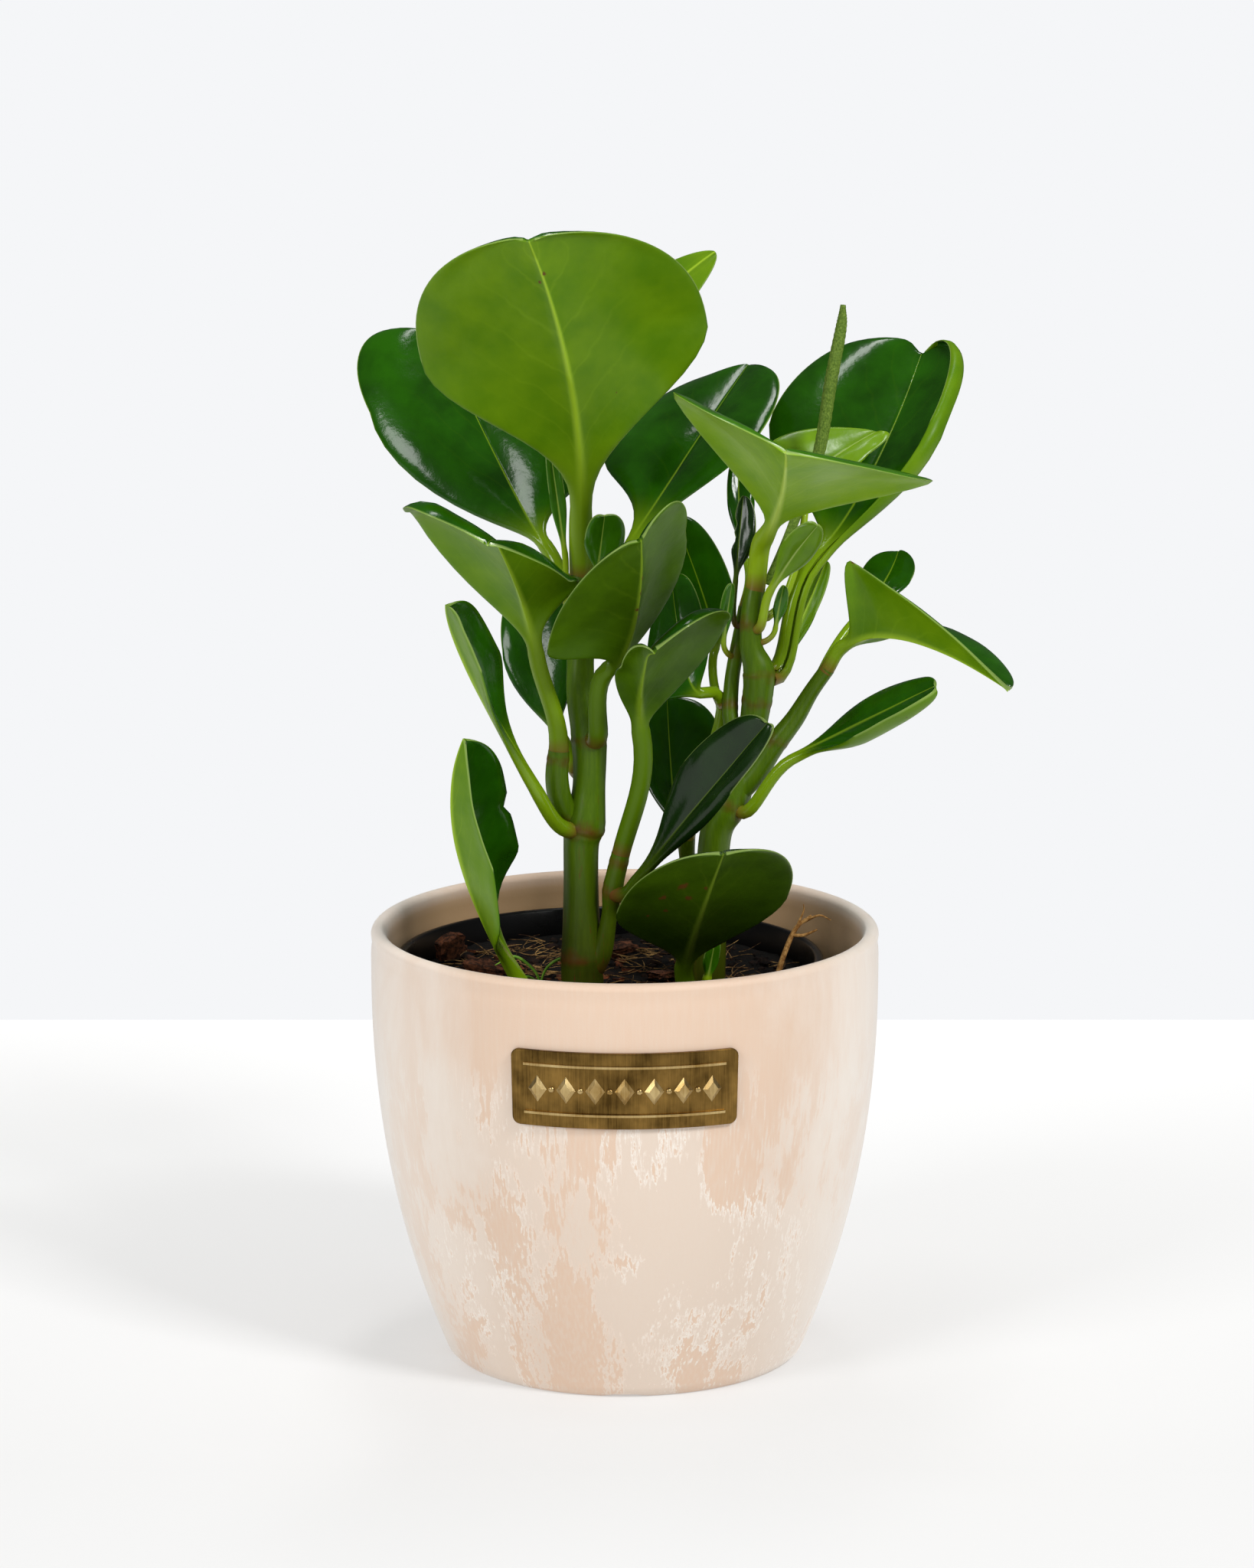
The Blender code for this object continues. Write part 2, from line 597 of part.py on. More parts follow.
def main():
    for old in list(bpy.data.objects):
        bpy.data.objects.remove(old)

    glaze = material("pot_glaze", (0.84, 0.66, 0.55), 0.6)
    brass = material("plate_brass", (0.42, 0.33, 0.20), 0.42, 1.0)
    black = material("nursery_plastic", (0.012, 0.012, 0.014), 0.35)
    mix = material("potting_mix", (0.035, 0.022, 0.014), 0.95)
    green = material("leaf_green", (0.05, 0.20, 0.02), 0.3)
    stalk = material("stem_green", (0.17, 0.30, 0.03), 0.45)
    straw = material("dry_straw", (0.45, 0.30, 0.14), 0.8)
    bark = material("bark_brown", (0.22, 0.10, 0.04), 0.85)
    pale = material("spike_green", (0.35, 0.52, 0.12), 0.55)

    build_cachepot(glaze)
    build_plate(brass)
    build_nursery_pot(black)
    build_mix(mix)

    left = build_tube("stem_left", LEFT_STEM, stalk)
    shoots = [
        build_tube("left_shoot", LEFT_SHOOT, stalk),
        build_tube("middle_shoot", MIDDLE_SHOOT, stalk),
    ]
    join(left, shoots)
    right = build_tube("stem_right", RIGHT_STEM, stalk)
    shoots = [
        build_tube("right_branch", RIGHT_BRANCH, stalk),
        build_tube("back_shoot", BACK_SHOOT, stalk),
    ]
    join(right, shoots)
    build_tube("stem_thin", THIN_STEM, stalk)
    build_tube("flower_spike", SPIKE, pale)
    root = build_tube("dry_root", DRY_ROOT, straw, sides=6)
    join(root, [build_tube("dry_root_fork", DRY_ROOT_FORK, straw, sides=6)])
    build_tube("sprout", SPROUT, stalk, sides=6)

    for leaf in LEAVES:
        build_leaf(leaf, green)
    for name, middle, size, turn in CHIPS:
        build_chip(name, middle, size, turn, bark)


main()
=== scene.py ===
"""Visual model of a potted baby rubber plant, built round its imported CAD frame.

The plant grows in a black nursery pot inside a washed ceramic cachepot with a brass plate.
Units are metres, +Z is up and the front faces -Y. The plant's tables are in millimetres from the
middle of the potting mix's surface, and its height comes from the CAD frame.
"""

import logging
import math
import random
from dataclasses import dataclass, field
from enum import Enum
from typing import Optional, Sequence, Union

import bmesh
import bpy
from mathutils import Matrix, Vector, noise


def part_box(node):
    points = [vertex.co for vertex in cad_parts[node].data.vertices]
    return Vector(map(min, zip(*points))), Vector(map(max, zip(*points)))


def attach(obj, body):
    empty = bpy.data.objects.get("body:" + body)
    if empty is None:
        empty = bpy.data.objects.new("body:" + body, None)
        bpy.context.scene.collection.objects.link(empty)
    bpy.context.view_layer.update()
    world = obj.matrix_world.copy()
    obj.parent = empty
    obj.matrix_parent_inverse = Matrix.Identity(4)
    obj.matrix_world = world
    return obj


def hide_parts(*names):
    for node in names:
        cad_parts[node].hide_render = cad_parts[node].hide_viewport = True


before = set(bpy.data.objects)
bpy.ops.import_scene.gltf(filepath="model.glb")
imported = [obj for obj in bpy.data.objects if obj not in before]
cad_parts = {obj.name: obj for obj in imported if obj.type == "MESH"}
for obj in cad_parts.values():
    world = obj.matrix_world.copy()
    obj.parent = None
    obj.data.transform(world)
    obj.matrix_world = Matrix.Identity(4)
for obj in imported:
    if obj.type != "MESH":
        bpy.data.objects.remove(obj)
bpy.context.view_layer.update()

LOG = logging.getLogger("potted_plant")
MM = 0.001
MIX_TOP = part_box("potting_mix")[1].z
Point = tuple[float, float, float]
Blend = Union[Vector, float]
Rings = list[list[Vector]]
Marks = dict[str, list[list[float]]]
LEAF_MARKS = ("across", "along", "upper", "rib_mm", "edge_mm", "stalk", "foot_mm")


# Shared helpers -----------------------------------------------------------------------------


def srgb(code: str) -> tuple[float, float, float, float]:
    """Turns an sRGB hex colour to linear.

    Args:
        code: six hex digits.

    Returns:
        Red, green, blue and an alpha of 1.
    """
    parts = [int(code[place : place + 2], 16) / 255.0 for place in (0, 2, 4)]
    linear = [c / 12.92 if c <= 0.04045 else ((c + 0.055) / 1.055) ** 2.4 for c in parts]
    return (linear[0], linear[1], linear[2], 1.0)


def smooth(value: float) -> float:
    """Smooth step of a value held between 0 and 1."""
    held = min(1.0, max(0.0, value))
    return held * held * (3.0 - 2.0 * held)


def bell(value: float, width: float) -> float:
    """Bell curve of height 1 at 0."""
    return math.exp(-((value / width) ** 2))


def per_metre(size_mm: float) -> float:
    """Scale of a pattern whose spots are about this many millimetres wide."""
    return 1000.0 / size_mm


class Graph:
    """The node tree of one material while it is put together."""

    def __init__(self, name: str) -> None:
        """Starts a material of this name.

        Args:
            name: the material's name.
        """
        self.material = bpy.data.materials.new(name)
        self.material.use_nodes = True
        self.tree = self.material.node_tree
        self.shader = self.tree.nodes["Principled BSDF"]

    def add(
        self,
        kind: Union[str, bpy.types.Node],
        settings: Optional[dict] = None,
        links: Optional[dict] = None,
    ) -> bpy.types.Node:
        """Adds a node with its settings and links, or sets up a node that is there already.

        Args:
            kind: the node's type without its leading ShaderNode, or the node itself.
            settings: values by property name, socket name or socket number; "stops" fills a ramp.
            links: source sockets by socket name or number.

        Returns:
            The node.
        """
        made = self.tree.nodes.new("ShaderNode" + kind) if isinstance(kind, str) else kind
        for key, value in (settings or {}).items():
            if key == "stops":
                ramp = made.color_ramp.elements
                while len(ramp) < len(value):
                    ramp.new(0.5)
                for stop, (position, colour) in zip(ramp, value):
                    stop.position = position
                    stop.color = colour
            elif isinstance(key, str) and hasattr(made, key):
                setattr(made, key, value)
            else:
                made.inputs[key].default_value = value
        for key, source in (links or {}).items():
            self.tree.links.new(source, made.inputs[key])
        return made


def bend_skin(rings: Rings, marks: Optional[Marks] = None) -> bmesh.types.BMesh:
    """Bends a flat grid into a closed skin over rings of equal length.

    Args:
        rings: the places that each row of the grid goes to.
        marks: numbers to keep at each place, by name.

    Returns:
        The skin, with its seam merged and both ends capped.
    """
    around = len(rings[0])
    bm = bmesh.new()
    layers = {name: bm.verts.layers.float.new(name) for name in marks or {}}
    bmesh.ops.create_grid(bm, x_segments=around, y_segments=len(rings) - 1, size=1.0)
    bm.verts.ensure_lookup_table()
    for index, vertex in enumerate(bm.verts):
        row, column = divmod(index, around + 1)
        vertex.co = rings[row][column % around]
        for name, layer in layers.items():
            vertex[layer] = marks[name][row][column % around]
    bmesh.ops.remove_doubles(bm, verts=bm.verts, dist=1e-7)
    rims = [edge for edge in bm.edges if edge.is_boundary]
    bmesh.ops.holes_fill(bm, edges=rims, sides=0)
    return bm


def spin_profile(
    profile: Sequence[tuple[float, float]], steps: int, middle: tuple[float, float] = (0.0, 0.0)
) -> bmesh.types.BMesh:
    """Spins a profile of (radius, height) places about an upright axis.

    Args:
        profile: places in metres, from one end on the axis to the other, or back to the start.
        steps: number of faces round the axis.
        middle: where the axis stands.

    Returns:
        The closed shape.
    """
    bm = bmesh.new()
    corners = [bm.verts.new((radius, 0.0, height)) for radius, height in profile]
    for start, end in zip(corners, corners[1:]):
        bm.edges.new((start, end))
    bmesh.ops.spin(
        bm,
        geom=list(bm.verts) + list(bm.edges),
        cent=(0.0, 0.0, 0.0),
        axis=(0.0, 0.0, 1.0),
        angle=math.tau,
        steps=steps,
        use_merge=True,
    )
    bmesh.ops.remove_doubles(bm, verts=bm.verts, dist=1e-6)
    bmesh.ops.translate(bm, verts=bm.verts, vec=(*middle, 0.0))
    return bm


def make_piece(
    name: str,
    bm: bmesh.types.BMesh,
    material: bpy.types.Material,
    stands_for: Sequence[str] = (),
    sharp: float = 50.0,
) -> bpy.types.Object:
    """Turns a shape into a named piece that rides on the plant's one body.

    Args:
        name: the piece's name.
        bm: its shape, which is used up.
        material: its finish.
        stands_for: CAD nodes that it replaces.
        sharp: angle in degrees above which an edge looks sharp.

    Returns:
        The piece.
    """
    bm.normal_update()
    bmesh.ops.recalc_face_normals(bm, faces=bm.faces)
    mesh = bpy.data.meshes.new(name)
    bm.to_mesh(mesh)
    bm.free()
    mesh.shade_smooth()
    mesh.set_sharp_from_angle(angle=math.radians(sharp))
    mesh.materials.append(material)
    piece = bpy.data.objects.new(name, mesh)
    bpy.context.scene.collection.objects.link(piece)
    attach(piece, "root")
    if stands_for:
        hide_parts(*stands_for)
    LOG.info("%s: %d faces", name, len(mesh.polygons))
    return piece


def planted(point: Sequence[float]) -> Vector:
    """A drawn point in millimetres, placed from the middle of the mix's surface."""
    return Vector(point) * MM + Vector((0.0, 0.0, MIX_TOP))


def catmull(before: Blend, start: Blend, end: Blend, after: Blend, share: float) -> Blend:
    """A point or a number on the smooth curve from start to end.

    Args:
        before: the value ahead of the stretch.
        start: the value where the stretch starts.
        end: the value where it ends.
        after: the value past it.
        share: how far along it, 0 to 1.

    Returns:
        The value there.
    """
    return 0.5 * (
        2 * start
        + (end - before) * share
        + (2 * before - 5 * start + 4 * end - after) * share**2
        + (3 * start - before - 3 * end + after) * share**3
    )


def bezier(handles: Sequence[Vector], share: float) -> Vector:
    """A point on the curve that four handles give.

    Args:
        handles: the four handles.
        share: how far along the curve, 0 to 1.

    Returns:
        The point.
    """
    rest = 1.0 - share
    first, second, third, fourth = handles
    return (
        first * rest**3
        + second * 3 * rest**2 * share
        + third * 3 * rest * share**2
        + fourth * share**3
    )


# Finishes -----------------------------------------------------------------------------------


@dataclass(frozen=True)
class WashedBisque:
    """Bisque-fired earthenware, slip-washed by hand: matte peach clay under torn chalky patches."""

    clay: str = "DFC6B0"
    deep_clay: str = "DABBA2"
    wash: str = "DECDBD"
    chalk: str = "EFE8DF"
    # The inside colour is the clay darkened as painted shade.
    inside: str = "C4A076"
    patch_mm: float = 22.0
    broad_mm: float = 45.0
    thread_mm: float = 0.7
    grain_mm: float = 0.7
    band_low: float = 0.036
    band_high: float = 0.060

    def build(self) -> bpy.types.Material:
        """Builds the finish: clay, thin wash, torn chalk edges, a fine grain, a painted sheen on
        the flanks and painted shade inside.

        Returns:
            The material.
        """
        graph = Graph("washed_bisque")
        place = graph.add("TexCoord").outputs["Object"]
        sideways, _, height = graph.add("SeparateXYZ", links={0: place}).outputs
        # Patches run down the wall, so their pattern is drawn out upright.
        long_way = graph.add("Mapping", {"Scale": (1.0, 1.0, 0.38)}, {"Vector": place}).outputs[0]
        patch = graph.add(
            "TexNoise",
            {
                "Scale": per_metre(self.patch_mm),
                "Detail": 9.0,
                "Roughness": 0.66,
                "Distortion": 0.35,
            },
            {"Vector": long_way},
        ).outputs[0]
        upright = graph.add("Mapping", {"Scale": (1.0, 1.0, 0.07)}, {"Vector": place}).outputs[0]
        thread = graph.add(
            "TexNoise", {"Scale": per_metre(self.thread_mm), "Detail": 3.0}, {"Vector": upright}
        ).outputs[0]
        thread_pull = graph.add(
            "Math", {"operation": "MULTIPLY_ADD", 1: 0.22, 2: -0.11}, {0: thread}
        ).outputs[0]
        torn = graph.add("Math", {"operation": "ADD"}, {0: patch, 1: thread_pull}).outputs[0]
        # The washed part ends below the rim in a ragged line.
        ragged_height = graph.add(
            "Math", {"operation": "MULTIPLY_ADD", 1: -0.07}, {0: patch, 2: height}
        ).outputs[0]
        low = graph.add(
            "MapRange",
            {
                "interpolation_type": "SMOOTHSTEP",
                "From Min": self.band_high,
                "From Max": self.band_low,
            },
            {"Value": ragged_height},
        ).outputs[0]
        cover = graph.add(
            "MapRange", {"From Min": 0.46, "From Max": 0.53}, {"Value": torn}
        ).outputs[0]
        cover_low = graph.add("Math", {"operation": "MULTIPLY"}, {0: cover, 1: low}).outputs[0]
        # Slip gathers where a patch ends, so its border is whiter than its middle.
        border = graph.add(
            "MapRange", {"From Min": 0.472, "From Max": 0.485}, {"Value": torn}
        ).outputs[0]
        border_end = graph.add(
            "MapRange",
            {"From Min": 0.485, "From Max": 0.525, "To Min": 1.0, "To Max": 0.05},
            {"Value": torn},
        ).outputs[0]
        rim_of_patch = graph.add(
            "Math", {"operation": "MULTIPLY"}, {0: border, 1: border_end}
        ).outputs[0]
        rim_low = graph.add("Math", {"operation": "MULTIPLY"}, {0: rim_of_patch, 1: low}).outputs[0]
        # The flanks, where the wall turns away to the sides, are whitened towards chalk up to the
        # rim: a painted sheen with a ragged edge.
        flank = graph.add("Math", {"operation": "ABSOLUTE"}, {0: sideways}).outputs[0]
        ragged_flank = graph.add(
            "Math", {"operation": "MULTIPLY_ADD", 1: 0.05, 2: -0.025}, {0: patch}
        ).outputs[0]
        torn_flank = graph.add("Math", {"operation": "ADD"}, {0: flank, 1: ragged_flank}).outputs[0]
        flank_sheen = graph.add(
            "MapRange",
            {"From Min": 0.034, "From Max": 0.062, "To Max": 0.75},
            {"Value": torn_flank},
        ).outputs[0]
        grain = graph.add(
            "TexNoise",
            {"Scale": per_metre(self.grain_mm), "Detail": 3.0, "Roughness": 0.7},
            {"Vector": place},
        ).outputs[0]
        broad = graph.add(
            "TexNoise", {"Scale": per_metre(self.broad_mm), "Detail": 3.0}, {"Vector": place}
        ).outputs[0]
        clay = graph.add(
            "Mix", {"data_type": "RGBA", 6: srgb(self.deep_clay), 7: srgb(self.clay)}, {0: broad}
        ).outputs[2]
        # A thin film of slip is left all over the lower wall, and streaks of it reach the band.
        film = graph.add(
            "MapRange", {"From Min": 0.42, "From Max": 0.72, "To Max": 0.75}, {"Value": thread}
        ).outputs[0]
        film_low = graph.add("MapRange", {"To Min": 0.3, "To Max": 0.75}, {"Value": low}).outputs[0]
        film_share = graph.add("Math", {"operation": "MULTIPLY"}, {0: film, 1: film_low}).outputs[0]
        filmed = graph.add(
            "Mix", {"data_type": "RGBA", 7: srgb(self.wash)}, {0: film_share, 6: clay}
        ).outputs[2]
        cover_share = graph.add(
            "Math", {"operation": "MULTIPLY", 1: 0.85}, {0: cover_low}
        ).outputs[0]
        washed = graph.add(
            "Mix", {"data_type": "RGBA", 7: srgb(self.wash)}, {0: cover_share, 6: filmed}
        ).outputs[2]
        # Only some borders carry thick slip.
        thick = graph.add(
            "MapRange", {"From Min": 0.42, "From Max": 0.58, "To Min": 0.15}, {"Value": broad}
        ).outputs[0]
        chalk_share = graph.add(
            "Math", {"operation": "MULTIPLY"}, {0: rim_low, 1: thick}
        ).outputs[0]
        chalk_grain = graph.add(
            "Math", {"operation": "MULTIPLY"}, {0: chalk_share, 1: grain}
        ).outputs[0]
        chalk_more = graph.add(
            "Math", {"operation": "MULTIPLY", 1: 1.7, "use_clamp": True}, {0: chalk_grain}
        ).outputs[0]
        chalked = graph.add(
            "Mix", {"data_type": "RGBA", 7: srgb(self.chalk)}, {0: chalk_more, 6: washed}
        ).outputs[2]
        # Painted sheen whitens the flanks towards the chalk colour.
        sheened = graph.add(
            "Mix", {"data_type": "RGBA", 7: srgb(self.chalk)}, {0: flank_sheen, 6: chalked}
        ).outputs[2]
        # The inside wall takes the darker clay colour: painted shade.
        inner = graph.add("Attribute", {"attribute_name": "inside"}).outputs["Fac"]
        colour = graph.add(
            "Mix", {"data_type": "RGBA", 7: srgb(self.inside)}, {0: inner, 6: sheened}
        ).outputs[2]
        relief = graph.add(
            "Math", {"operation": "MULTIPLY_ADD", 1: 0.5}, {0: cover_low, 2: grain}
        ).outputs[0]
        bump = graph.add(
            "Bump", {"Strength": 0.12, "Distance": 0.0003}, {"Height": relief}
        ).outputs[0]
        graph.add(
            graph.shader,
            {"Roughness": 0.58, "Sheen Weight": 0.45, "Sheen Roughness": 0.4},
            {"Base Color": colour, "Normal": bump},
        )
        return graph.material


@dataclass(frozen=True)
class AgedBrass:
    """Antiqued brass sheet, brushed upright: brown patina in the ground, bright worn relief."""

    metal: str = "9A783E"
    patina: str = "4C3818"
    worn: str = "D8C08A"
    line_mm: float = 0.35
    cloud_mm: float = 7.0

    def build(self, worn: bool) -> bpy.types.Material:
        """Builds the finish.

        Args:
            worn: whether this is the rubbed relief rather than the darkened ground.

        Returns:
            The material.
        """
        graph = Graph("aged_brass_relief" if worn else "aged_brass_ground")
        place = graph.add("TexCoord").outputs["Object"]
        upright = graph.add("Mapping", {"Scale": (1.0, 0.2, 0.03)}, {"Vector": place}).outputs[0]
        lines = graph.add(
            "TexNoise",
            {"Scale": per_metre(self.line_mm), "Detail": 4.0, "Roughness": 0.7},
            {"Vector": upright},
        ).outputs[0]
        cloud = graph.add(
            "TexNoise", {"Scale": per_metre(self.cloud_mm), "Detail": 3.0}, {"Vector": place}
        ).outputs[0]
        dark = graph.add(
            "Math", {"operation": "MULTIPLY_ADD", 1: 0.6}, {0: lines, 2: cloud}
        ).outputs[0]
        share = graph.add(
            "MapRange", {"From Min": 0.55, "From Max": 1.05}, {"Value": dark}
        ).outputs[0]
        low, high = (self.metal, self.worn) if worn else (self.patina, self.metal)
        colour = graph.add(
            "Mix", {"data_type": "RGBA", 6: srgb(low), 7: srgb(high)}, {0: share}
        ).outputs[2]
        rough = graph.add("MapRange", {"To Min": 0.30, "To Max": 0.48}, {"Value": lines}).outputs[0]
        bump = graph.add(
            "Bump", {"Strength": 0.25, "Distance": 0.0001}, {"Height": lines}
        ).outputs[0]
        graph.add(
            graph.shader,
            {"Metallic": 1.0, "Anisotropic": 0.4},
            {"Base Color": colour, "Roughness": rough, "Normal": bump},
        )
        return graph.material


@dataclass(frozen=True)
class BlackPolypropylene:
    """Thin thermoformed polypropylene: black, with a soft gloss that catches the rim."""

    colour: str = "050506"
    ripple_mm: float = 9.0

    def build(self) -> bpy.types.Material:
        """Builds the finish.

        Returns:
            The material.
        """
        graph = Graph("black_polypropylene")
        place = graph.add("TexCoord").outputs["Object"]
        ripple = graph.add(
            "TexNoise", {"Scale": per_metre(self.ripple_mm)}, {"Vector": place}
        ).outputs[0]
        rough = graph.add("MapRange", {"To Min": 0.2, "To Max": 0.4}, {"Value": ripple}).outputs[0]
        graph.add(
            graph.shader,
            {"Base Color": srgb(self.colour), "IOR": 1.4, "Specular IOR Level": 0.35},
            {"Roughness": rough},
        )
        return graph.material


@dataclass(frozen=True)
class Earthy:
    """A dry, rough, fibrous matter such as peat, coir or bark: matte, with two mixed browns."""

    name: str
    dark: str
    light: str
    spot_mm: float
    roughness: float = 0.9
    strength: float = 0.6

    def build(self) -> bpy.types.Material:
        """Builds the finish.

        Returns:
            The material.
        """
        graph = Graph(self.name)
        place = graph.add("TexCoord").outputs["Object"]
        spots = graph.add(
            "TexNoise",
            {"Scale": per_metre(self.spot_mm), "Detail": 6.0, "Roughness": 0.7},
            {"Vector": place},
        ).outputs[0]
        share = graph.add(
            "MapRange", {"From Min": 0.42, "From Max": 0.68}, {"Value": spots}
        ).outputs[0]
        colour = graph.add(
            "Mix", {"data_type": "RGBA", 6: srgb(self.dark), 7: srgb(self.light)}, {0: share}
        ).outputs[2]
        bump = graph.add(
            "Bump", {"Strength": self.strength, "Distance": 0.0006}, {"Height": spots}
        ).outputs[0]
        graph.add(
            graph.shader,
            {"Roughness": self.roughness, "Specular IOR Level": 0.2},
            {"Base Color": colour, "Normal": bump},
        )
        return graph.material


class Age(Enum):
    """How old a leaf is, which sets its greens; the old greens are also darkened as painted shade.
    """

    BUD = "bud"
    YOUNG = "young"
    GROWN = "grown"
    MATURE = "mature"
    OLD = "old"


@dataclass(frozen=True)
class Scar:
    """A corky brown mark: how far across and along the blade it is, and its size in mm."""

    across: float
    along: float
    size: float


@dataclass(frozen=True)
class WaxyLeaf:
    """A succulent leaf: waxy gloss over deep green above, satin lime below, with a pale midrib."""

    name: str
    upper: str
    upper_deep: str
    under: str
    under_deep: str
    rib: str
    stalk: str
    blush: str = "6E3A22"
    edge: str = "A6C068"
    cork: str = "5A3416"
    gloss: float = 0.16
    base_shade: float = 0.0
    blotch_mm: float = 11.0
    pebble_mm: float = 0.9
    swell_mm: float = 7.0
    grit_mm: float = 1.6

    def build(
        self, scars: Sequence[Scar] = (), half_width: float = 20.0, length: float = 50.0
    ) -> bpy.types.Material:
        """Builds the finish from the numbers kept on each leaf's mesh.

        Args:
            scars: corky marks on this leaf.
            half_width: half the blade's width in mm, which sizes the scars.
            length: the blade's length in mm, which sizes the scars.

        Returns:
            The material.
        """
        graph = Graph(self.name)
        place = graph.add("TexCoord").outputs["Object"]
        kept = {
            mark: graph.add("Attribute", {"attribute_name": mark}).outputs["Fac"]
            for mark in LEAF_MARKS
        }
        blotch = graph.add(
            "TexNoise",
            {"Scale": per_metre(self.blotch_mm), "Detail": 3.0, "Roughness": 0.55},
            {"Vector": place},
        ).outputs[0]
        share = graph.add(
            "MapRange", {"From Min": 0.3, "From Max": 0.7}, {"Value": blotch}
        ).outputs[0]
        over = graph.add(
            "Mix", {"data_type": "RGBA", 6: srgb(self.upper_deep), 7: srgb(self.upper)}, {0: share}
        ).outputs[2]
        below = graph.add(
            "Mix", {"data_type": "RGBA", 6: srgb(self.under_deep), 7: srgb(self.under)}, {0: share}
        ).outputs[2]
        # Side veins leave the midrib at a slant and fade before the margin.
        reach = graph.add("Math", {"operation": "ABSOLUTE"}, {0: kept["across"]}).outputs[0]
        slant = graph.add("Math", {"operation": "MULTIPLY", 1: -0.42}, {0: reach}).outputs[0]
        run = graph.add("Math", {"operation": "ADD"}, {0: kept["along"], 1: slant}).outputs[0]
        wobble = graph.add(
            "Math", {"operation": "MULTIPLY_ADD", 1: 0.12}, {0: blotch, 2: run}
        ).outputs[0]
        ladder = graph.add("Math", {"operation": "MULTIPLY", 1: 7.0}, {0: wobble}).outputs[0]
        saw = graph.add("Math", {"operation": "PINGPONG", 1: 0.5}, {0: ladder}).outputs[0]
        vein = graph.add(
            "MapRange",
            {"interpolation_type": "SMOOTHSTEP", "From Max": 0.09, "To Min": 0.1, "To Max": 0.0},
            {"Value": saw},
        ).outputs[0]
        fade = graph.add(
            "MapRange",
            {"From Min": 0.1, "From Max": 0.75, "To Min": 1.0, "To Max": 0.0},
            {"Value": reach},
        ).outputs[0]
        vein_share = graph.add("Math", {"operation": "MULTIPLY"}, {0: vein, 1: fade}).outputs[0]
        vein_over = graph.add(
            "Math", {"operation": "MULTIPLY", 1: 0.35}, {0: vein_share}
        ).outputs[0]
        over = graph.add(
            "Mix", {"data_type": "RGBA", 7: srgb(self.under)}, {0: vein_over, 6: over}
        ).outputs[2]
        below = graph.add(
            "Mix", {"data_type": "RGBA", 7: srgb(self.rib)}, {0: vein_share, 6: below}
        ).outputs[2]
        # The midrib thins towards the tip and is paler below than above.
        rib_width = graph.add(
            "MapRange", {"To Min": 2.3, "To Max": 0.35}, {"Value": kept["along"]}
        ).outputs[0]
        rib_near = graph.add(
            "Math", {"operation": "DIVIDE"}, {0: kept["rib_mm"], 1: rib_width}
        ).outputs[0]
        rib_below = graph.add(
            "MapRange",
            {"interpolation_type": "SMOOTHSTEP", "From Max": 1.0, "To Min": 0.85, "To Max": 0.0},
            {"Value": rib_near},
        ).outputs[0]
        rib_over = graph.add(
            "MapRange",
            {"interpolation_type": "SMOOTHSTEP", "From Max": 0.3, "To Min": 0.45, "To Max": 0.0},
            {"Value": rib_near},
        ).outputs[0]
        below = graph.add(
            "Mix", {"data_type": "RGBA", 7: srgb(self.rib)}, {0: rib_below, 6: below}
        ).outputs[2]
        over = graph.add(
            "Mix", {"data_type": "RGBA", 7: srgb(self.rib)}, {0: rib_over, 6: over}
        ).outputs[2]
        colour = graph.add(
            "Mix", {"data_type": "RGBA"}, {0: kept["upper"], 6: below, 7: over}
        ).outputs[2]
        # Painted shade: the blade darkens towards its stalk, to nearly black green on an old leaf.
        base = graph.add(
            "MapRange",
            {"From Min": 0.1, "From Max": 0.8, "To Min": self.base_shade, "To Max": 0.0},
            {"Value": kept["along"]},
        ).outputs[0]
        colour = graph.add(
            "Mix", {"data_type": "RGBA", 7: srgb(self.upper_deep)}, {0: base, 6: colour}
        ).outputs[2]
        edge = graph.add(
            "MapRange",
            {"From Min": 0.05, "From Max": 0.3, "To Min": 0.45, "To Max": 0.0},
            {"Value": kept["edge_mm"]},
        ).outputs[0]
        colour = graph.add(
            "Mix", {"data_type": "RGBA", 7: srgb(self.edge)}, {0: edge, 6: colour}
        ).outputs[2]
        colour = graph.add(
            "Mix", {"data_type": "RGBA", 7: srgb(self.stalk)}, {0: kept["stalk"], 6: colour}
        ).outputs[2]
        foot = graph.add(
            "MapRange",
            {"From Min": 0.5, "From Max": 5.0, "To Min": 0.75, "To Max": 0.0},
            {"Value": kept["foot_mm"]},
        ).outputs[0]
        colour = graph.add(
            "Mix", {"data_type": "RGBA", 7: srgb(self.blush)}, {0: foot, 6: colour}
        ).outputs[2]
        grit = graph.add(
            "TexNoise",
            {"Scale": per_metre(self.grit_mm), "Detail": 4.0, "Roughness": 0.8},
            {"Vector": place},
        ).outputs[0]
        for scar in scars:
            colour = self.mark_scar(graph, kept, grit, colour, scar, half_width, length)
        pebble = graph.add(
            "TexNoise", {"Scale": per_metre(self.pebble_mm), "Detail": 2.0}, {"Vector": place}
        ).outputs[0]
        swell = graph.add(
            "TexNoise", {"Scale": per_metre(self.swell_mm), "Detail": 2.0}, {"Vector": place}
        ).outputs[0]
        fine = graph.add(
            "Bump", {"Strength": 0.3, "Distance": 0.0001}, {"Height": pebble}
        ).outputs[0]
        normal = graph.add(
            "Bump", {"Strength": 0.3, "Distance": 0.0006}, {"Height": swell, "Normal": fine}
        ).outputs[0]
        rough = graph.add(
            "MapRange", {"To Min": 0.36, "To Max": self.gloss}, {"Value": kept["upper"]}
        ).outputs[0]
        # Only the upper side has the full wax shine.
        shine = graph.add(
            "MapRange", {"To Min": 0.22, "To Max": 0.42}, {"Value": kept["upper"]}
        ).outputs[0]
        graph.add(
            graph.shader,
            {"IOR": 1.42},
            {
                "Base Color": colour,
                "Roughness": rough,
                "Specular IOR Level": shine,
                "Normal": normal,
            },
        )
        return graph.material

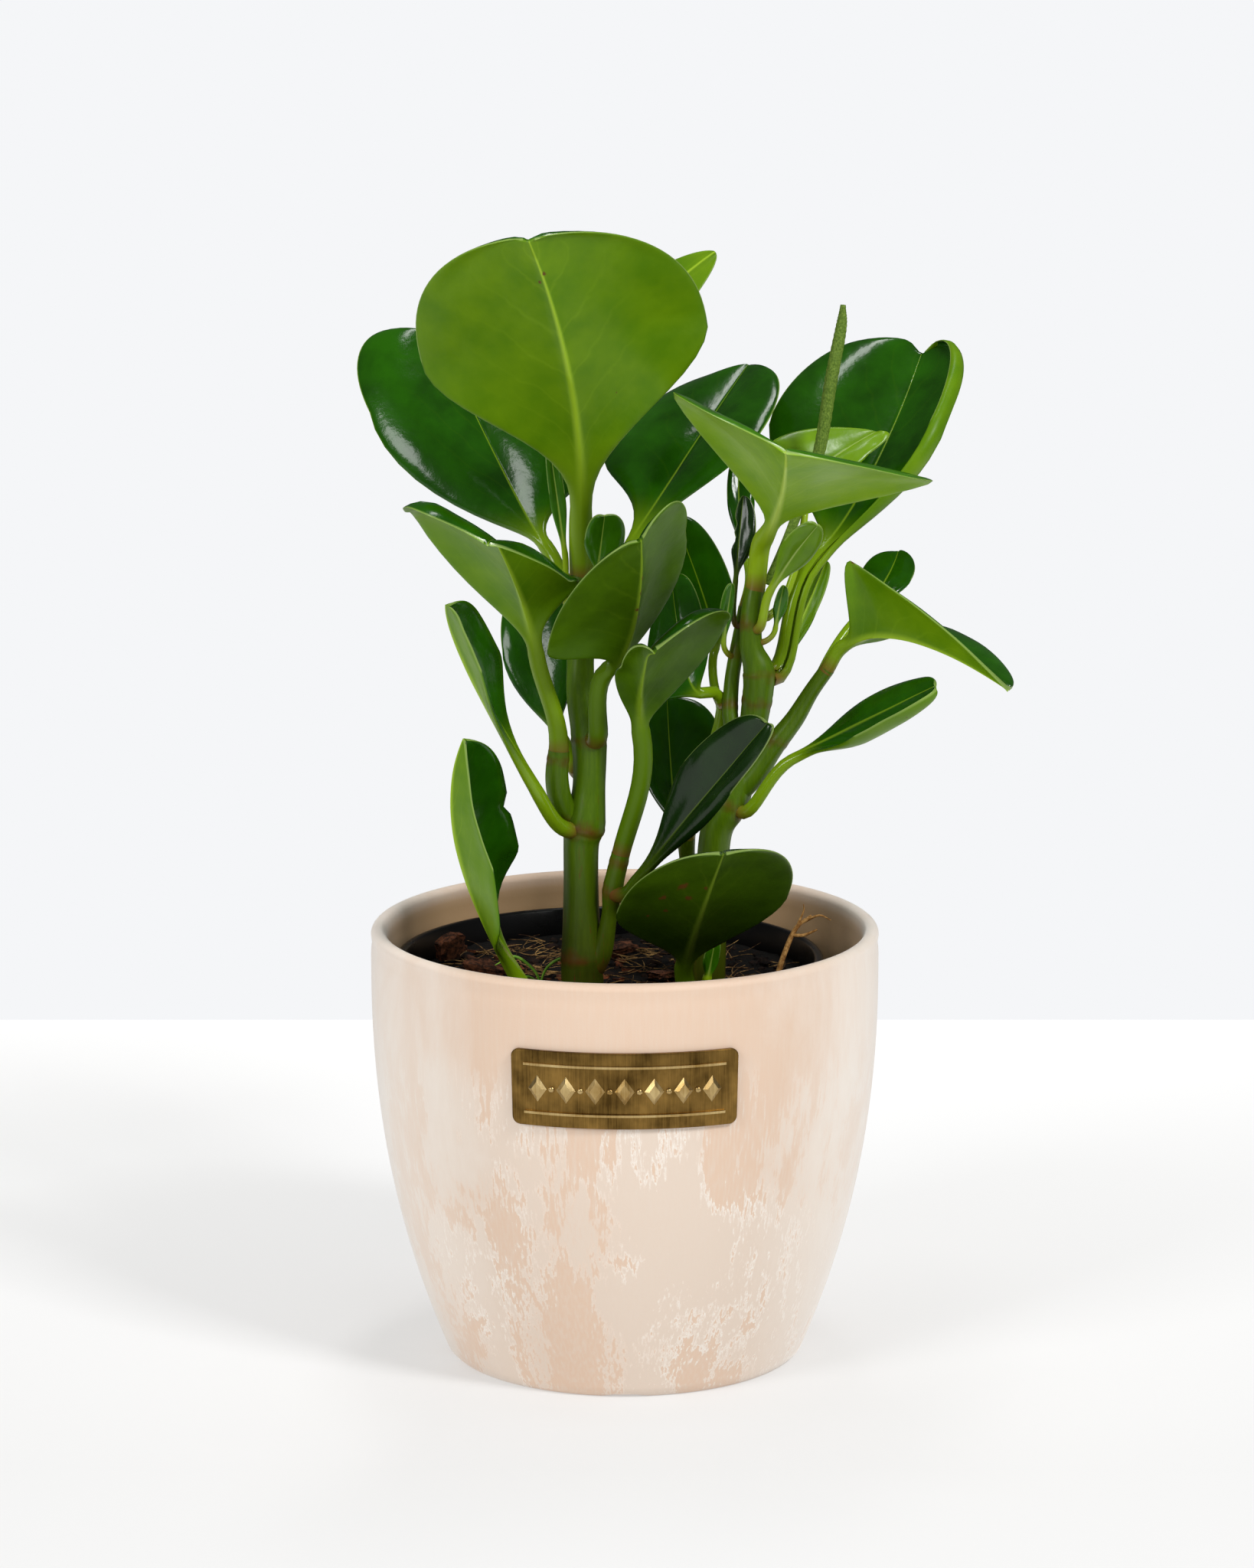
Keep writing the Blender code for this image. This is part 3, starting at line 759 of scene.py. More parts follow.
    def mark_scar(
        self,
        graph: Graph,
        kept: dict[str, bpy.types.NodeSocket],
        grit: bpy.types.NodeSocket,
        colour: bpy.types.NodeSocket,
        scar: Scar,
        half_width: float,
        length: float,
    ) -> bpy.types.NodeSocket:
        """Adds one ragged corky mark over a colour.

        Args:
            graph: the material's nodes.
            kept: the numbers kept on the mesh.
            grit: noise that frays the mark's border.
            colour: the colour so far.
            scar: the mark.
            half_width: half the blade's width in mm.
            length: the blade's length in mm.

        Returns:
            The colour with the mark on it.
        """
        sideways = graph.add(
            "Math",
            {"operation": "MULTIPLY_ADD", 1: half_width, 2: -scar.across * half_width},
            {0: kept["across"]},
        ).outputs[0]
        lengthways = graph.add(
            "Math",
            {"operation": "MULTIPLY_ADD", 1: length, 2: -scar.along * length},
            {0: kept["along"]},
        ).outputs[0]
        spot = graph.add("CombineXYZ", links={0: sideways, 1: lengthways}).outputs[0]
        away = graph.add("VectorMath", {"operation": "LENGTH"}, {0: spot}).outputs[1]
        frayed = graph.add(
            "Math", {"operation": "MULTIPLY_ADD", 1: 2.6 * scar.size}, {0: grit, 2: away}
        ).outputs[0]
        share = graph.add(
            "MapRange",
            {
                "From Min": 1.7 * scar.size,
                "From Max": 2.1 * scar.size,
                "To Min": 0.9,
                "To Max": 0.0,
            },
            {"Value": frayed},
        ).outputs[0]
        return graph.add(
            "Mix", {"data_type": "RGBA", 7: srgb(self.cork)}, {0: share, 6: colour}
        ).outputs[2]


@dataclass(frozen=True)
class FleshyStem:
    """A succulent stem: satin green with fine upright streaks and reddish brown joints."""

    # The greens are darkened below the stem's own green, as painted shade from the leaves above it.
    green: str = "547206"
    deep: str = "3E5C02"
    low: str = "302804"
    joint: str = "5E2C10"
    streak_mm: float = 0.9
    speck_mm: float = 0.8
    patch_mm: float = 6.0

    def build(self) -> bpy.types.Material:
        """Builds the finish from the distance to each joint kept on the mesh.

        Returns:
            The material.
        """
        graph = Graph("fleshy_stem")
        place = graph.add("TexCoord").outputs["Object"]
        joint_mm = graph.add("Attribute", {"attribute_name": "joint_mm"}).outputs["Fac"]
        height = graph.add("SeparateXYZ", links={0: place}).outputs[2]
        upright = graph.add("Mapping", {"Scale": (1.0, 1.0, 0.12)}, {"Vector": place}).outputs[0]
        streak = graph.add(
            "TexNoise",
            {"Scale": per_metre(self.streak_mm), "Detail": 4.0, "Roughness": 0.65},
            {"Vector": upright},
        ).outputs[0]
        share = graph.add(
            "MapRange", {"From Min": 0.2, "From Max": 0.8}, {"Value": streak}
        ).outputs[0]
        colour = graph.add(
            "Mix", {"data_type": "RGBA", 6: srgb(self.deep), 7: srgb(self.green)}, {0: share}
        ).outputs[2]
        # The oldest growth near the mix has turned brownish and speckled.
        aged = graph.add(
            "MapRange",
            {"From Min": MIX_TOP, "From Max": MIX_TOP + 0.045, "To Min": 0.8, "To Max": 0.0},
            {"Value": height},
        ).outputs[0]
        colour = graph.add(
            "Mix", {"data_type": "RGBA", 7: srgb(self.low)}, {0: aged, 6: colour}
        ).outputs[2]
        speck = graph.add(
            "TexNoise",
            {"Scale": per_metre(self.speck_mm), "Detail": 3.0, "Roughness": 0.7},
            {"Vector": upright},
        ).outputs[0]
        specks = graph.add(
            "MapRange", {"From Min": 0.62, "From Max": 0.70, "To Max": 0.8}, {"Value": speck}
        ).outputs[0]
        speck_low = graph.add(
            "MapRange",
            {"From Min": MIX_TOP, "From Max": MIX_TOP + 0.06, "To Min": 1.0, "To Max": 0.1},
            {"Value": height},
        ).outputs[0]
        speck_share = graph.add(
            "Math", {"operation": "MULTIPLY"}, {0: specks, 1: speck_low}
        ).outputs[0]
        colour = graph.add(
            "Mix", {"data_type": "RGBA", 7: srgb(self.joint)}, {0: speck_share, 6: colour}
        ).outputs[2]
        # The brown at a joint is a patch on one side or the other, not an even ring.
        patch = graph.add(
            "TexNoise", {"Scale": per_metre(self.patch_mm), "Detail": 3.0}, {"Vector": place}
        ).outputs[0]
        ragged = graph.add(
            "Math", {"operation": "MULTIPLY_ADD", 1: 9.0, 2: -6.0}, {0: patch}
        ).outputs[0]
        near_joint = graph.add("Math", {"operation": "ADD"}, {0: ragged, 1: joint_mm}).outputs[0]
        joints = graph.add(
            "MapRange",
            {"From Min": -2.2, "From Max": 0.6, "To Min": 0.75, "To Max": 0.0},
            {"Value": near_joint},
        ).outputs[0]
        colour = graph.add(
            "Mix", {"data_type": "RGBA", 7: srgb(self.joint)}, {0: joints, 6: colour}
        ).outputs[2]
        bump = graph.add(
            "Bump", {"Strength": 0.2, "Distance": 0.0003}, {"Height": streak}
        ).outputs[0]
        graph.add(
            graph.shader,
            {"Roughness": 0.36, "IOR": 1.42, "Specular IOR Level": 0.3},
            {"Base Color": colour, "Normal": bump},
        )
        return graph.material


# Pots and plate -----------------------------------------------------------------------------


@dataclass
class Cachepot:
    """The tapered outer pot with its rounded lip and the small notch under its front."""

    height: float = field(default_factory=lambda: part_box("outer_pot")[1].z)
    rim_radius: float = field(default_factory=lambda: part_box("outer_pot")[1].x)
    foot_radius: float = 0.0455
    wall: float = 0.0038
    floor: float = 0.005
    band: float = 0.012
    power: float = 2.1
    foot_round: float = 0.0012
    crease_drop: float = 0.0042
    crease_depth: float = 0.00035
    notch_half: float = 0.0043
    notch_height: float = 0.0006
    notch_deep: float = 0.004
    crease_width: float = 0.0011
    bare_lip: float = 0.0006
    inside_shade_fade: float = 0.004
    steps: int = 192
    wall_steps: int = 60
    lip_steps: int = 16
    foot_steps: int = 4

    def outer(self, height: float) -> float:
        """Outer radius of the wall at a height, with the soft crease under the lip.

        Args:
            height: height above the table in metres.

        Returns:
            The radius in metres.
        """
        share = max(0.0, 1.0 - height / (self.height - self.band))
        flare = (self.rim_radius - self.foot_radius) * share**self.power
        radius = self.rim_radius - flare * (1.0 - 0.1 * (1.0 - share))
        crease = bell(height - (self.height - self.crease_drop), self.crease_width)
        return radius - self.crease_depth * crease

    def build(self, finish: WashedBisque) -> None:
        """Spins the wall, marks its inside for painted shade and cuts the foot notch.

        Args:
            finish: the pot's finish.
        """
        top = self.height - self.wall / 2
        heights = [
            self.foot_round + (top - self.foot_round) * step / self.wall_steps
            for step in range(self.wall_steps + 1)
        ]
        profile = [(0.0, 0.0), (self.outer(0.0) - self.foot_round, 0.0)]
        for step in range(1, self.foot_steps):
            angle = math.pi / 2 * step / self.foot_steps
            profile.append(
                (
                    self.outer(0.0) - self.foot_round * (1.0 - math.sin(angle)),
                    self.foot_round * (1.0 - math.cos(angle)),
                )
            )
        profile += [(self.outer(height), height) for height in heights]
        middle = self.rim_radius - self.wall / 2
        for step in range(1, self.lip_steps):
            angle = math.pi * step / self.lip_steps
            profile.append(
                (middle + self.wall / 2 * math.cos(angle), top + self.wall / 2 * math.sin(angle))
            )
        inner = [height for height in heights if height > 2 * self.floor]
        profile += [(self.outer(height) - self.wall, height) for height in inner[::-1]]
        profile += [(self.outer(self.floor) - 2 * self.wall, self.floor), (0.0, self.floor)]
        bm = spin_profile(profile, self.steps)
        # The inside wall is marked from just below the lip, where its colour fades into painted
        # shade.
        inside = bm.verts.layers.float.new("inside")
        for vertex in bm.verts:
            radius = math.hypot(vertex.co.x, vertex.co.y)
            depth = self.height - self.bare_lip - vertex.co.z
            within = radius < self.outer(vertex.co.z) - self.wall * 0.75
            if within and vertex.co.z > self.floor / 2:
                vertex[inside] = smooth(depth / self.inside_shade_fade)
            if vertex.co.z < self.notch_height and vertex.co.y < 0.0:
                near = smooth((self.notch_half + 0.0004 - abs(vertex.co.x)) / 0.0006)
                if radius > self.foot_radius - self.notch_deep:
                    vertex.co.z = max(vertex.co.z, self.notch_height * near)
        make_piece("cachepot", bm, finish.build(), ["outer_pot"])


@dataclass
class BrassPlate:
    """The small plate bent to the wall, with a plain row of lozenge studs and beads in relief."""

    pot: Cachepot
    arc: float = 0.057
    height: float = 0.0195
    thickness: float = 0.00095
    corner: float = 0.002
    below_rim: float = 0.0268
    clearance: float = 0.0002
    soft_edge: float = 0.0004
    strips: int = 36
    studs: int = 7
    pitch: float = 0.0072
    relief: float = 0.00055
    bead_radius: float = 0.00075
    line_length: float = 0.050
    line_height: float = 0.0006
    line_level: float = 0.0062
    line_strips: int = 30

    def bend(self, bm: bmesh.types.BMesh) -> None:
        """Bends a flat shape, drawn with its face to -Y, round the cachepot's wall.

        Args:
            bm: the flat shape.
        """
        middle = self.pot.height - self.below_rim
        for vertex in bm.verts:
            height = middle + vertex.co.z
            out = self.pot.outer(height) + self.clearance - vertex.co.y
            angle = vertex.co.x / self.pot.outer(middle) - math.pi / 2
            vertex.co = (out * math.cos(angle), out * math.sin(angle), height)

    def round_off(
        self,
        bm: bmesh.types.BMesh,
        edges: Sequence[bmesh.types.BMEdge],
        offset: float,
        segments: int,
    ) -> None:
        """Bevels edges to a round.

        Args:
            bm: the shape.
            edges: its edges to bevel.
            offset: how far the round reaches, in metres.
            segments: number of faces in the round.
        """
        bmesh.ops.bevel(
            bm,
            geom=edges,
            offset=offset,
            offset_type="OFFSET",
            affect="EDGES",
            segments=segments,
            profile=0.5,
            material=-1,
        )

    def cut_strips(self, bm: bmesh.types.BMesh, length: float, strips: int) -> None:
        """Cuts a flat shape into upright strips, so that it can bend.

        Args:
            bm: the shape, with its middle at x = 0.
            length: its length along X in metres.
            strips: number of strips.
        """
        for strip in range(1, strips):
            bmesh.ops.bisect_plane(
                bm,
                geom=[*bm.verts, *bm.edges, *bm.faces],
                plane_co=(length * (strip / strips - 0.5), 0.0, 0.0),
                plane_no=(1.0, 0.0, 0.0),
            )

    def build_ground(self, finish: AgedBrass) -> None:
        """Makes the sheet: a block with round corners and softened edges, in bent strips.

        Args:
            finish: the plate's finish.
        """
        bm = bmesh.new()
        bmesh.ops.create_cube(bm, size=1.0)
        bmesh.ops.scale(bm, vec=(self.arc, self.thickness, self.height), verts=bm.verts)
        bmesh.ops.translate(bm, vec=(0.0, -self.thickness / 2, 0.0), verts=bm.verts)
        bm.edges.ensure_lookup_table()
        across = [
            edge
            for edge in bm.edges
            if abs(edge.verts[0].co.y - edge.verts[1].co.y) > self.thickness / 2
        ]
        self.round_off(bm, across, self.corner, 6)
        front = [
            edge
            for edge in bm.edges
            if all(vertex.co.y < -self.thickness * 0.9 for vertex in edge.verts)
            and edge.calc_face_angle(0.0) > 1.0
        ]
        self.round_off(bm, front, self.soft_edge, 3)
        self.cut_strips(bm, self.arc, self.strips)
        self.bend(bm)
        make_piece("brass_plate", bm, finish.build(False), ["nameplate"], 30.0)

    def build_relief(self, finish: AgedBrass) -> None:
        """Makes the raised row of studs and beads between two thin raised lines.

        Args:
            finish: the plate's finish.
        """
        bm = bmesh.new()
        face = -self.thickness
        for index in range(self.studs):
            place = (index - (self.studs - 1) / 2) * self.pitch
            made = bmesh.ops.create_cone(
                bm, cap_ends=True, segments=4, radius1=1.0, radius2=0.55, depth=1.0
            )["verts"]
            bmesh.ops.scale(bm, vec=(0.0024, 0.0034, self.relief * 1.3), verts=made)
            bmesh.ops.rotate(bm, matrix=Matrix.Rotation(math.pi / 2, 3, "X"), verts=made)
            bmesh.ops.translate(bm, vec=(place, face - self.relief * 0.5, 0.0), verts=made)
            if index == 0:
                continue
            bead = bmesh.ops.create_uvsphere(
                bm, u_segments=12, v_segments=8, radius=self.bead_radius
            )["verts"]
            bmesh.ops.scale(bm, vec=(1.0, 0.7, 1.0), verts=bead)
            bmesh.ops.translate(bm, vec=(place - self.pitch / 2, face, 0.0), verts=bead)
        for level in (-self.line_level, self.line_level):
            line = bmesh.new()
            size = (self.line_length, self.relief, self.line_height)
            bmesh.ops.create_cube(line, size=1.0)
            bmesh.ops.scale(line, vec=size, verts=line.verts)
            bmesh.ops.translate(line, vec=(0.0, face - self.relief * 0.3, level), verts=line.verts)
            self.cut_strips(line, self.line_length, self.line_strips)
            merged(bm, line)
        self.bend(bm)
        make_piece("plate_relief", bm, finish.build(True), sharp=25.0)


@dataclass
class NurseryPot:
    """The thin black liner pot, with its rolled rim and one drain hole."""

    pot: Cachepot
    shift: float = -0.004
    below_rim: float = 0.008
    side_gap: float = 0.0063
    foot_gap: float = 0.0014
    lift: float = 0.0003
    sheet: float = 0.0009
    roll: float = 0.0014
    drain: float = 0.005

    def bottom(self) -> float:
        """Height of the pot's underside, just off the cachepot's floor."""
        return self.pot.floor + self.lift

    def top(self) -> float:
        """Height of the rolled rim."""
        return self.pot.height - self.below_rim

    def outer(self, height: float) -> float:
        """Outer radius of the wall at a height, without its rolled rim.

        Args:
            height: height above the table in metres.

        Returns:
            The radius in metres.
        """
        bottom, top = self.bottom(), self.top()
        rim = self.pot.rim_radius - self.pot.wall - self.side_gap - self.roll
        foot = self.pot.outer(self.pot.floor) - 2 * self.pot.wall - abs(self.shift) - self.foot_gap
        return foot + (rim - foot) * (max(0.0, height - bottom) / (top - bottom)) ** 0.6

    def build(self, finish: BlackPolypropylene) -> None:
        """Spins the wall round from its drain hole, over the rim and back down the inside.

        Args:
            finish: the pot's finish.
        """
        bottom, top = self.bottom(), self.top()
        heights = [bottom + (top - 0.0006 - bottom) * (step / 24) ** 1.5 for step in range(25)]
        profile = [(self.drain, bottom)]
        profile += [(self.outer(height), height) for height in heights if height < top - 0.005]
        rim = self.outer(top)
        # The rolled rim, from under its outer edge, over the top and to the inside.
        profile += [
            (self.outer(top - 0.005) + self.roll * 0.8, top - 0.0046),
            (rim + self.roll, top - 0.0036),
            (rim + self.roll, top - 0.0007),
            (rim + self.roll * 0.7, top - 0.0002),
            (rim + self.roll * 0.2, top),
            (rim - self.sheet * 0.6, top - 0.0001),
            (rim - self.sheet, top - 0.0006),
        ]
        profile += [(self.outer(h) - self.sheet, h) for h in heights[:1:-1] if h < top - 0.001]
        profile += [
            (self.outer(bottom) - self.sheet, bottom + self.sheet),
            (self.drain, bottom + self.sheet),
            (self.drain, bottom),
        ]
        bm = spin_profile(profile, 144, (self.shift, 0.0))
        make_piece("liner_pot", bm, finish.build(), ["nursery_pot"])


# Potting mix --------------------------------------------------------------------------------


@dataclass
class PottingMix:
    """Peat, coir and bark: a lumpy bed, crumbs, splinters of bark and loose fibres."""

    liner: NurseryPot
    crumbs: int = 420
    fibres: int = 380
    splinters: int = 60
    lump: float = 0.0016
    bed_rings: int = 70
    seed: int = 11

    def surface(self, x: float, y: float) -> float:
        """Height of the lumpy surface at a place, mostly under the CAD model's flat one.

        Args:
            x: place along X in metres.
            y: place along Y in metres.

        Returns:
            The height in metres.
        """
        where = Vector((x * 120.0, y * 120.0, 3.0))
        rough = noise.fractal(where, 0.8, 2.1, 4) + 0.35 * noise.noise(where * 5.0)
        return MIX_TOP - self.lump * 0.6 + self.lump * 0.55 * rough

    def bed_radius(self) -> float:
        """Radius of the bed at its surface."""
        return self.liner.outer(MIX_TOP) - self.liner.sheet - 0.0002

    def build_bed(self, finish: Earthy) -> None:
        """Spins the bed and gives its top its lumps.

        Args:
            finish: the bed's finish.
        """
        bottom = self.liner.pot.floor + 0.0015
        edge = self.bed_radius()
        profile = [(0.0, bottom), (self.liner.outer(bottom) - 0.0016, bottom)]
        for step in range(1, 9):
            height = bottom + (MIX_TOP - 0.003 - bottom) * step / 8
            profile.append((self.liner.outer(height) - 0.0013, height))
        rings = range(self.bed_rings + 1)
        profile += [(edge * (1.0 - step / self.bed_rings), MIX_TOP) for step in rings]
        bm = spin_profile(profile, 168, (self.liner.shift, 0.0))
        for vertex in bm.verts:
            if vertex.co.z > MIX_TOP - 1e-6:
                vertex.co.z = self.surface(vertex.co.x, vertex.co.y)
        make_piece("mix_bed", bm, finish.build(), ["potting_mix"], 80.0)

    def spots(self, count: int, inset: float) -> list[Vector]:
        """Random places on the bed, spread evenly by area.

        Args:
            count: number of places.
            inset: distance kept from the bed's edge in metres.

        Returns:
            The places.
        """
        found = []
        for _ in range(count):
            reach = (self.bed_radius() - inset) * math.sqrt(random.random())
            angle = random.uniform(0.0, math.tau)
            x = self.liner.shift + reach * math.cos(angle)
            y = reach * math.sin(angle)
            found.append(Vector((x, y, self.surface(x, y))))
        return found

    def build_crumbs(self, finish: Earthy) -> None:
        """Scatters uneven crumbs of peat.

        Args:
            finish: the crumbs' finish.
        """
        random.seed(self.seed)
        bm = bmesh.new()
        for spot in self.spots(self.crumbs, 0.003):
            made = bmesh.ops.create_icosphere(bm, subdivisions=1, radius=1.0)["verts"]
            size = random.uniform(0.0005, 0.0019)
            for vertex in made:
                vertex.co *= random.uniform(0.7, 1.2)
            bmesh.ops.scale(
                bm, vec=(size * random.uniform(0.8, 1.8), size, size * 0.7), verts=made
            )
            turn = Matrix.Rotation(random.uniform(0.0, math.tau), 3, "Z")
            bmesh.ops.rotate(bm, matrix=turn, verts=made)
            bmesh.ops.translate(bm, vec=spot, verts=made)
        make_piece("peat_crumbs", bm, finish.build(), sharp=30.0)

    def build_fibres(self, finish: Earthy) -> None:
        """Lays thin curved fibres on the bed, some lifting at one end.

        Args:
            finish: the fibres' finish.
        """
        random.seed(self.seed + 1)
        whole = bmesh.new()
        for spot in self.spots(self.fibres, 0.006):
            heading = random.uniform(0.0, math.tau)
            length = random.uniform(0.004, 0.013)
            along = Vector((math.cos(heading), math.sin(heading), 0.0)) * length
            side = Vector((-along.y, along.x, 0.0)) * random.uniform(-0.35, 0.35)
            lift = Vector((0.0, 0.0, random.uniform(0.0, 0.0022)))
            start = spot + Vector((0.0, 0.0, 0.0006))
            handles = (
                start,
                start + along / 3 + side,
                start + along * 0.66 + side + lift,
                start + along + lift,
            )
            thick = random.uniform(0.00009, 0.00022)
            axis = []
            for step in range(7):
                axis.append((bezier(handles, step / 6), thick * (1.0 - 0.6 * step / 6)))
            whole = merged(whole, bend_skin(tube_rings(axis, 4)))
        make_piece("coir_fibres", whole, finish.build(), sharp=80.0)

    def build_splinters(self, finish: Earthy) -> None:
        """Scatters small splinters of bark.

        Args:
            finish: the splinters' finish.
        """
        random.seed(self.seed + 2)
        bm = bmesh.new()
        for spot in self.spots(self.splinters, 0.006):
            size = (random.uniform(2.5, 6.0), random.uniform(0.8, 2.0), random.uniform(0.5, 1.1))
            turn = (random.uniform(-25, 25), random.uniform(-25, 25), random.uniform(0, 360))
            add_chip(bm, spot + Vector((0.0, 0.0, 0.0004)), size, turn)
        make_piece("bark_splinters", bm, finish.build(), sharp=30.0)


def add_chip(
    bm: bmesh.types.BMesh, middle: Vector, size: Point, turn: Point, cuts: int = 1
) -> None:
    """Adds a rough chip of bark: a block cut into steps and pushed about.

    Args:
        bm: the shape to add to.
        middle: the chip's middle, in metres.
        size: its length, width and height in millimetres.
        turn: its turns about X, Y and Z in degrees.
        cuts: how finely the block is cut.
    """
    chip = bmesh.new()
    bmesh.ops.create_cube(chip, size=1.0)
    bmesh.ops.subdivide_edges(chip, edges=chip.edges, cuts=cuts, use_grid_fill=True)
    for vertex in chip.verts:
        taper = 1.0 - 0.45 * max(0.0, vertex.co.x)
        vertex.co.y *= taper
        vertex.co.z *= taper
        vertex.co += Vector([random.uniform(-0.11, 0.11) for _ in range(3)])
    bmesh.ops.scale(chip, vec=[side * MM for side in size], verts=chip.verts)
    for axis, degrees in zip("XYZ", turn):
        spin = Matrix.Rotation(math.radians(degrees), 3, axis)
        bmesh.ops.rotate(chip, matrix=spin, verts=chip.verts)
    bmesh.ops.translate(chip, vec=middle, verts=chip.verts)
    merged(bm, chip)


def merged(whole: bmesh.types.BMesh, part: bmesh.types.BMesh) -> bmesh.types.BMesh:
    """Adds a part's shape to the whole and frees the part.

    Args:
        whole: the shape that grows.
        part: the shape that is used up.

    Returns:
        The whole.
    """
    mesh = bpy.data.meshes.new("part")
    part.to_mesh(mesh)
    part.free()
    whole.from_mesh(mesh)
    bpy.data.meshes.remove(mesh)
    return whole


# Plant --------------------------------------------------------------------------------------


@dataclass(frozen=True)
class Stem:
    """A stem: places on its axis and its radius at each, in millimetres, and its joints."""

    name: str
    points: Sequence[Point]
    radii: Sequence[float]
    joints: Sequence[float] = ()

    def axis(self, steps: int = 6) -> list[tuple[Vector, float]]:
        """Places and radii in metres along the stem, with each stretch cut into steps.

        Args:
            steps: number of steps in each stretch.

        Returns:
            The places, each with its radius.
        """
        points = [planted(point) for point in self.points]
        radii = [radius * MM for radius in self.radii]
        points = [2 * points[0] - points[1], *points, 2 * points[-1] - points[-2]]
        radii = [radii[0], *radii, radii[-1]]
        made = []
        for index in range(1, len(points) - 2):
            for step in range(steps):
                share = step / steps
                centre = catmull(*points[index - 1 : index + 3], share)
                made.append((centre, catmull(*radii[index - 1 : index + 3], share)))
        made.append((points[-2], radii[-2]))
        return made


def tube_rings(axis: Sequence[tuple[Vector, float]], sides: int) -> Rings:
    """Rings square to an axis, kept from twisting by one fixed sideways direction.

    Args:
        axis: places and radii.
        sides: number of places round each ring.

    Returns:
        The rings.
    """
    rings = []
    for index, (centre, radius) in enumerate(axis):
        ahead = axis[min(index + 1, len(axis) - 1)][0]
        behind = axis[max(index - 1, 0)][0]
        along = (ahead - behind).normalized()
        guide = Vector((0.0, 1.0, 0.0)) if abs(along.y) < 0.8 else Vector((0.0, 0.0, 1.0))
        across = along.cross(guide).normalized()
        other = along.cross(across)
        turns = [math.tau * side / sides for side in range(sides)]
        rings.append(
            [centre + radius * (math.cos(turn) * across + math.sin(turn) * other) for turn in turns]
        )
    return rings


LEFT_STEM = Stem(
    "stem_left",
    [(-10.5, -21.5, -3), (-10.5, -21.5, 0.7), (-11, -21, 12), (-11, -20, 26), (-11, -20, 39),
     (-10, -20, 45), (-9, -19, 54), (-9, -18, 66), (-11, -16, 78), (-11, -12, 94), (-11, -9, 106)],
    [6.2, 5.6, 5.0, 4.5, 4.4, 5.0, 4.1, 4.3, 3.6, 3.1, 2.9],
    (10, 43.5, 66, 88, 97),
)
LEFT_SHOOT = Stem(
    "shoot_left",
    [(-11, -20, 43), (-13, -20, 45), (-16, -22, 51), (-17, -23, 57), (-16.5, -23, 64)],
    [2.2, 2.4, 2.9, 2.9, 2.6],
    (47, 62),
)
MIDDLE_SHOOT = Stem(
    "shoot_middle",
    [(-10, -21, 6), (-6, -22, 12), (-4, -23, 21), (-3, -24, 29), (-1, -25, 38)],
    [3.6, 2.8, 2.0, 2.5, 2.3],
    (9, 28, 36),
)
RIGHT_STEM = Stem(
    "stem_right",
    [(21.5, -7, -3), (21.5, -7, 0.6), (22, -8, 20), (23, -8, 39), (27, -8, 48), (31, -6, 60),
     (33, -5, 70), (34, -5, 80), (32, -5, 87), (32, -4, 96), (33, -3, 102)],
    [4.4, 4.2, 4.1, 4.1, 4.4, 3.7, 3.6, 3.9, 2.9, 2.6, 2.5],
    (47, 73, 80, 93),
)
RIGHT_BRANCH = Stem(
    "branch_right",
    [(26, -8, 47), (33, -9, 55), (38, -10, 63), (43, -11, 70), (47, -12, 77), (51, -13, 83)],
    [2.6, 2.9, 2.7, 2.4, 2.0, 1.9],
    (48, 64),
)
BACK_SHOOT = Stem(
    "shoot_back",
    [(31, -6, 60), (27, -4, 67), (27, -1, 76), (28.5, 1, 86), (30, 3, 96)],
    [1.8, 2.0, 1.9, 1.7, 1.2],
    (63, 71, 84),
)
THIN_STEM = Stem(
    "stem_thin",
    [(17, 6, -3), (17, 6, 0.4), (17, 6, 18), (16, 5, 30), (16, 3, 36)],
    [2.3, 2.2, 2.0, 2.0, 2.0],
    (26,),
)


@dataclass(frozen=True)
class Bite:
    """A nick in a margin: which side, how far along, how deep and how long in millimetres."""

    side: int
    along: float
    depth: float
    length: float


@dataclass(frozen=True)
class Leaf:
    """A leaf: its joint, and the places that shape its petiole and blade, in millimetres.

    Left and right are as seen from the upper side. The joint is a height up the stem, "end" for
    the stem's end, or a place in the mix. Each side has its own power, which makes it fuller or
    more pointed. Bows are shares of a side's width, and roll is in degrees.
    """

    name: str
    stem: Optional[Stem]
    joint: Union[float, str, Point]
    neck: Point
    middle: Point
    tip: Point
    left: Point
    right: Point
    petiole: float
    curl: float = 0.0
    widest: float = 0.62
    left_power: float = 2.3
    right_power: float = 2.3
    left_widest: float = 0.0
    base_power: float = 1.5
    age: Age = Age.GROWN
    notch: float = 0.0
    bows: tuple[float, float] = (0.05, 0.05)
    droop: float = 0.0
    roll: float = 0.0
    wave: float = 0.6
    bites: Sequence[Bite] = ()
    scars: Sequence[Scar] = ()


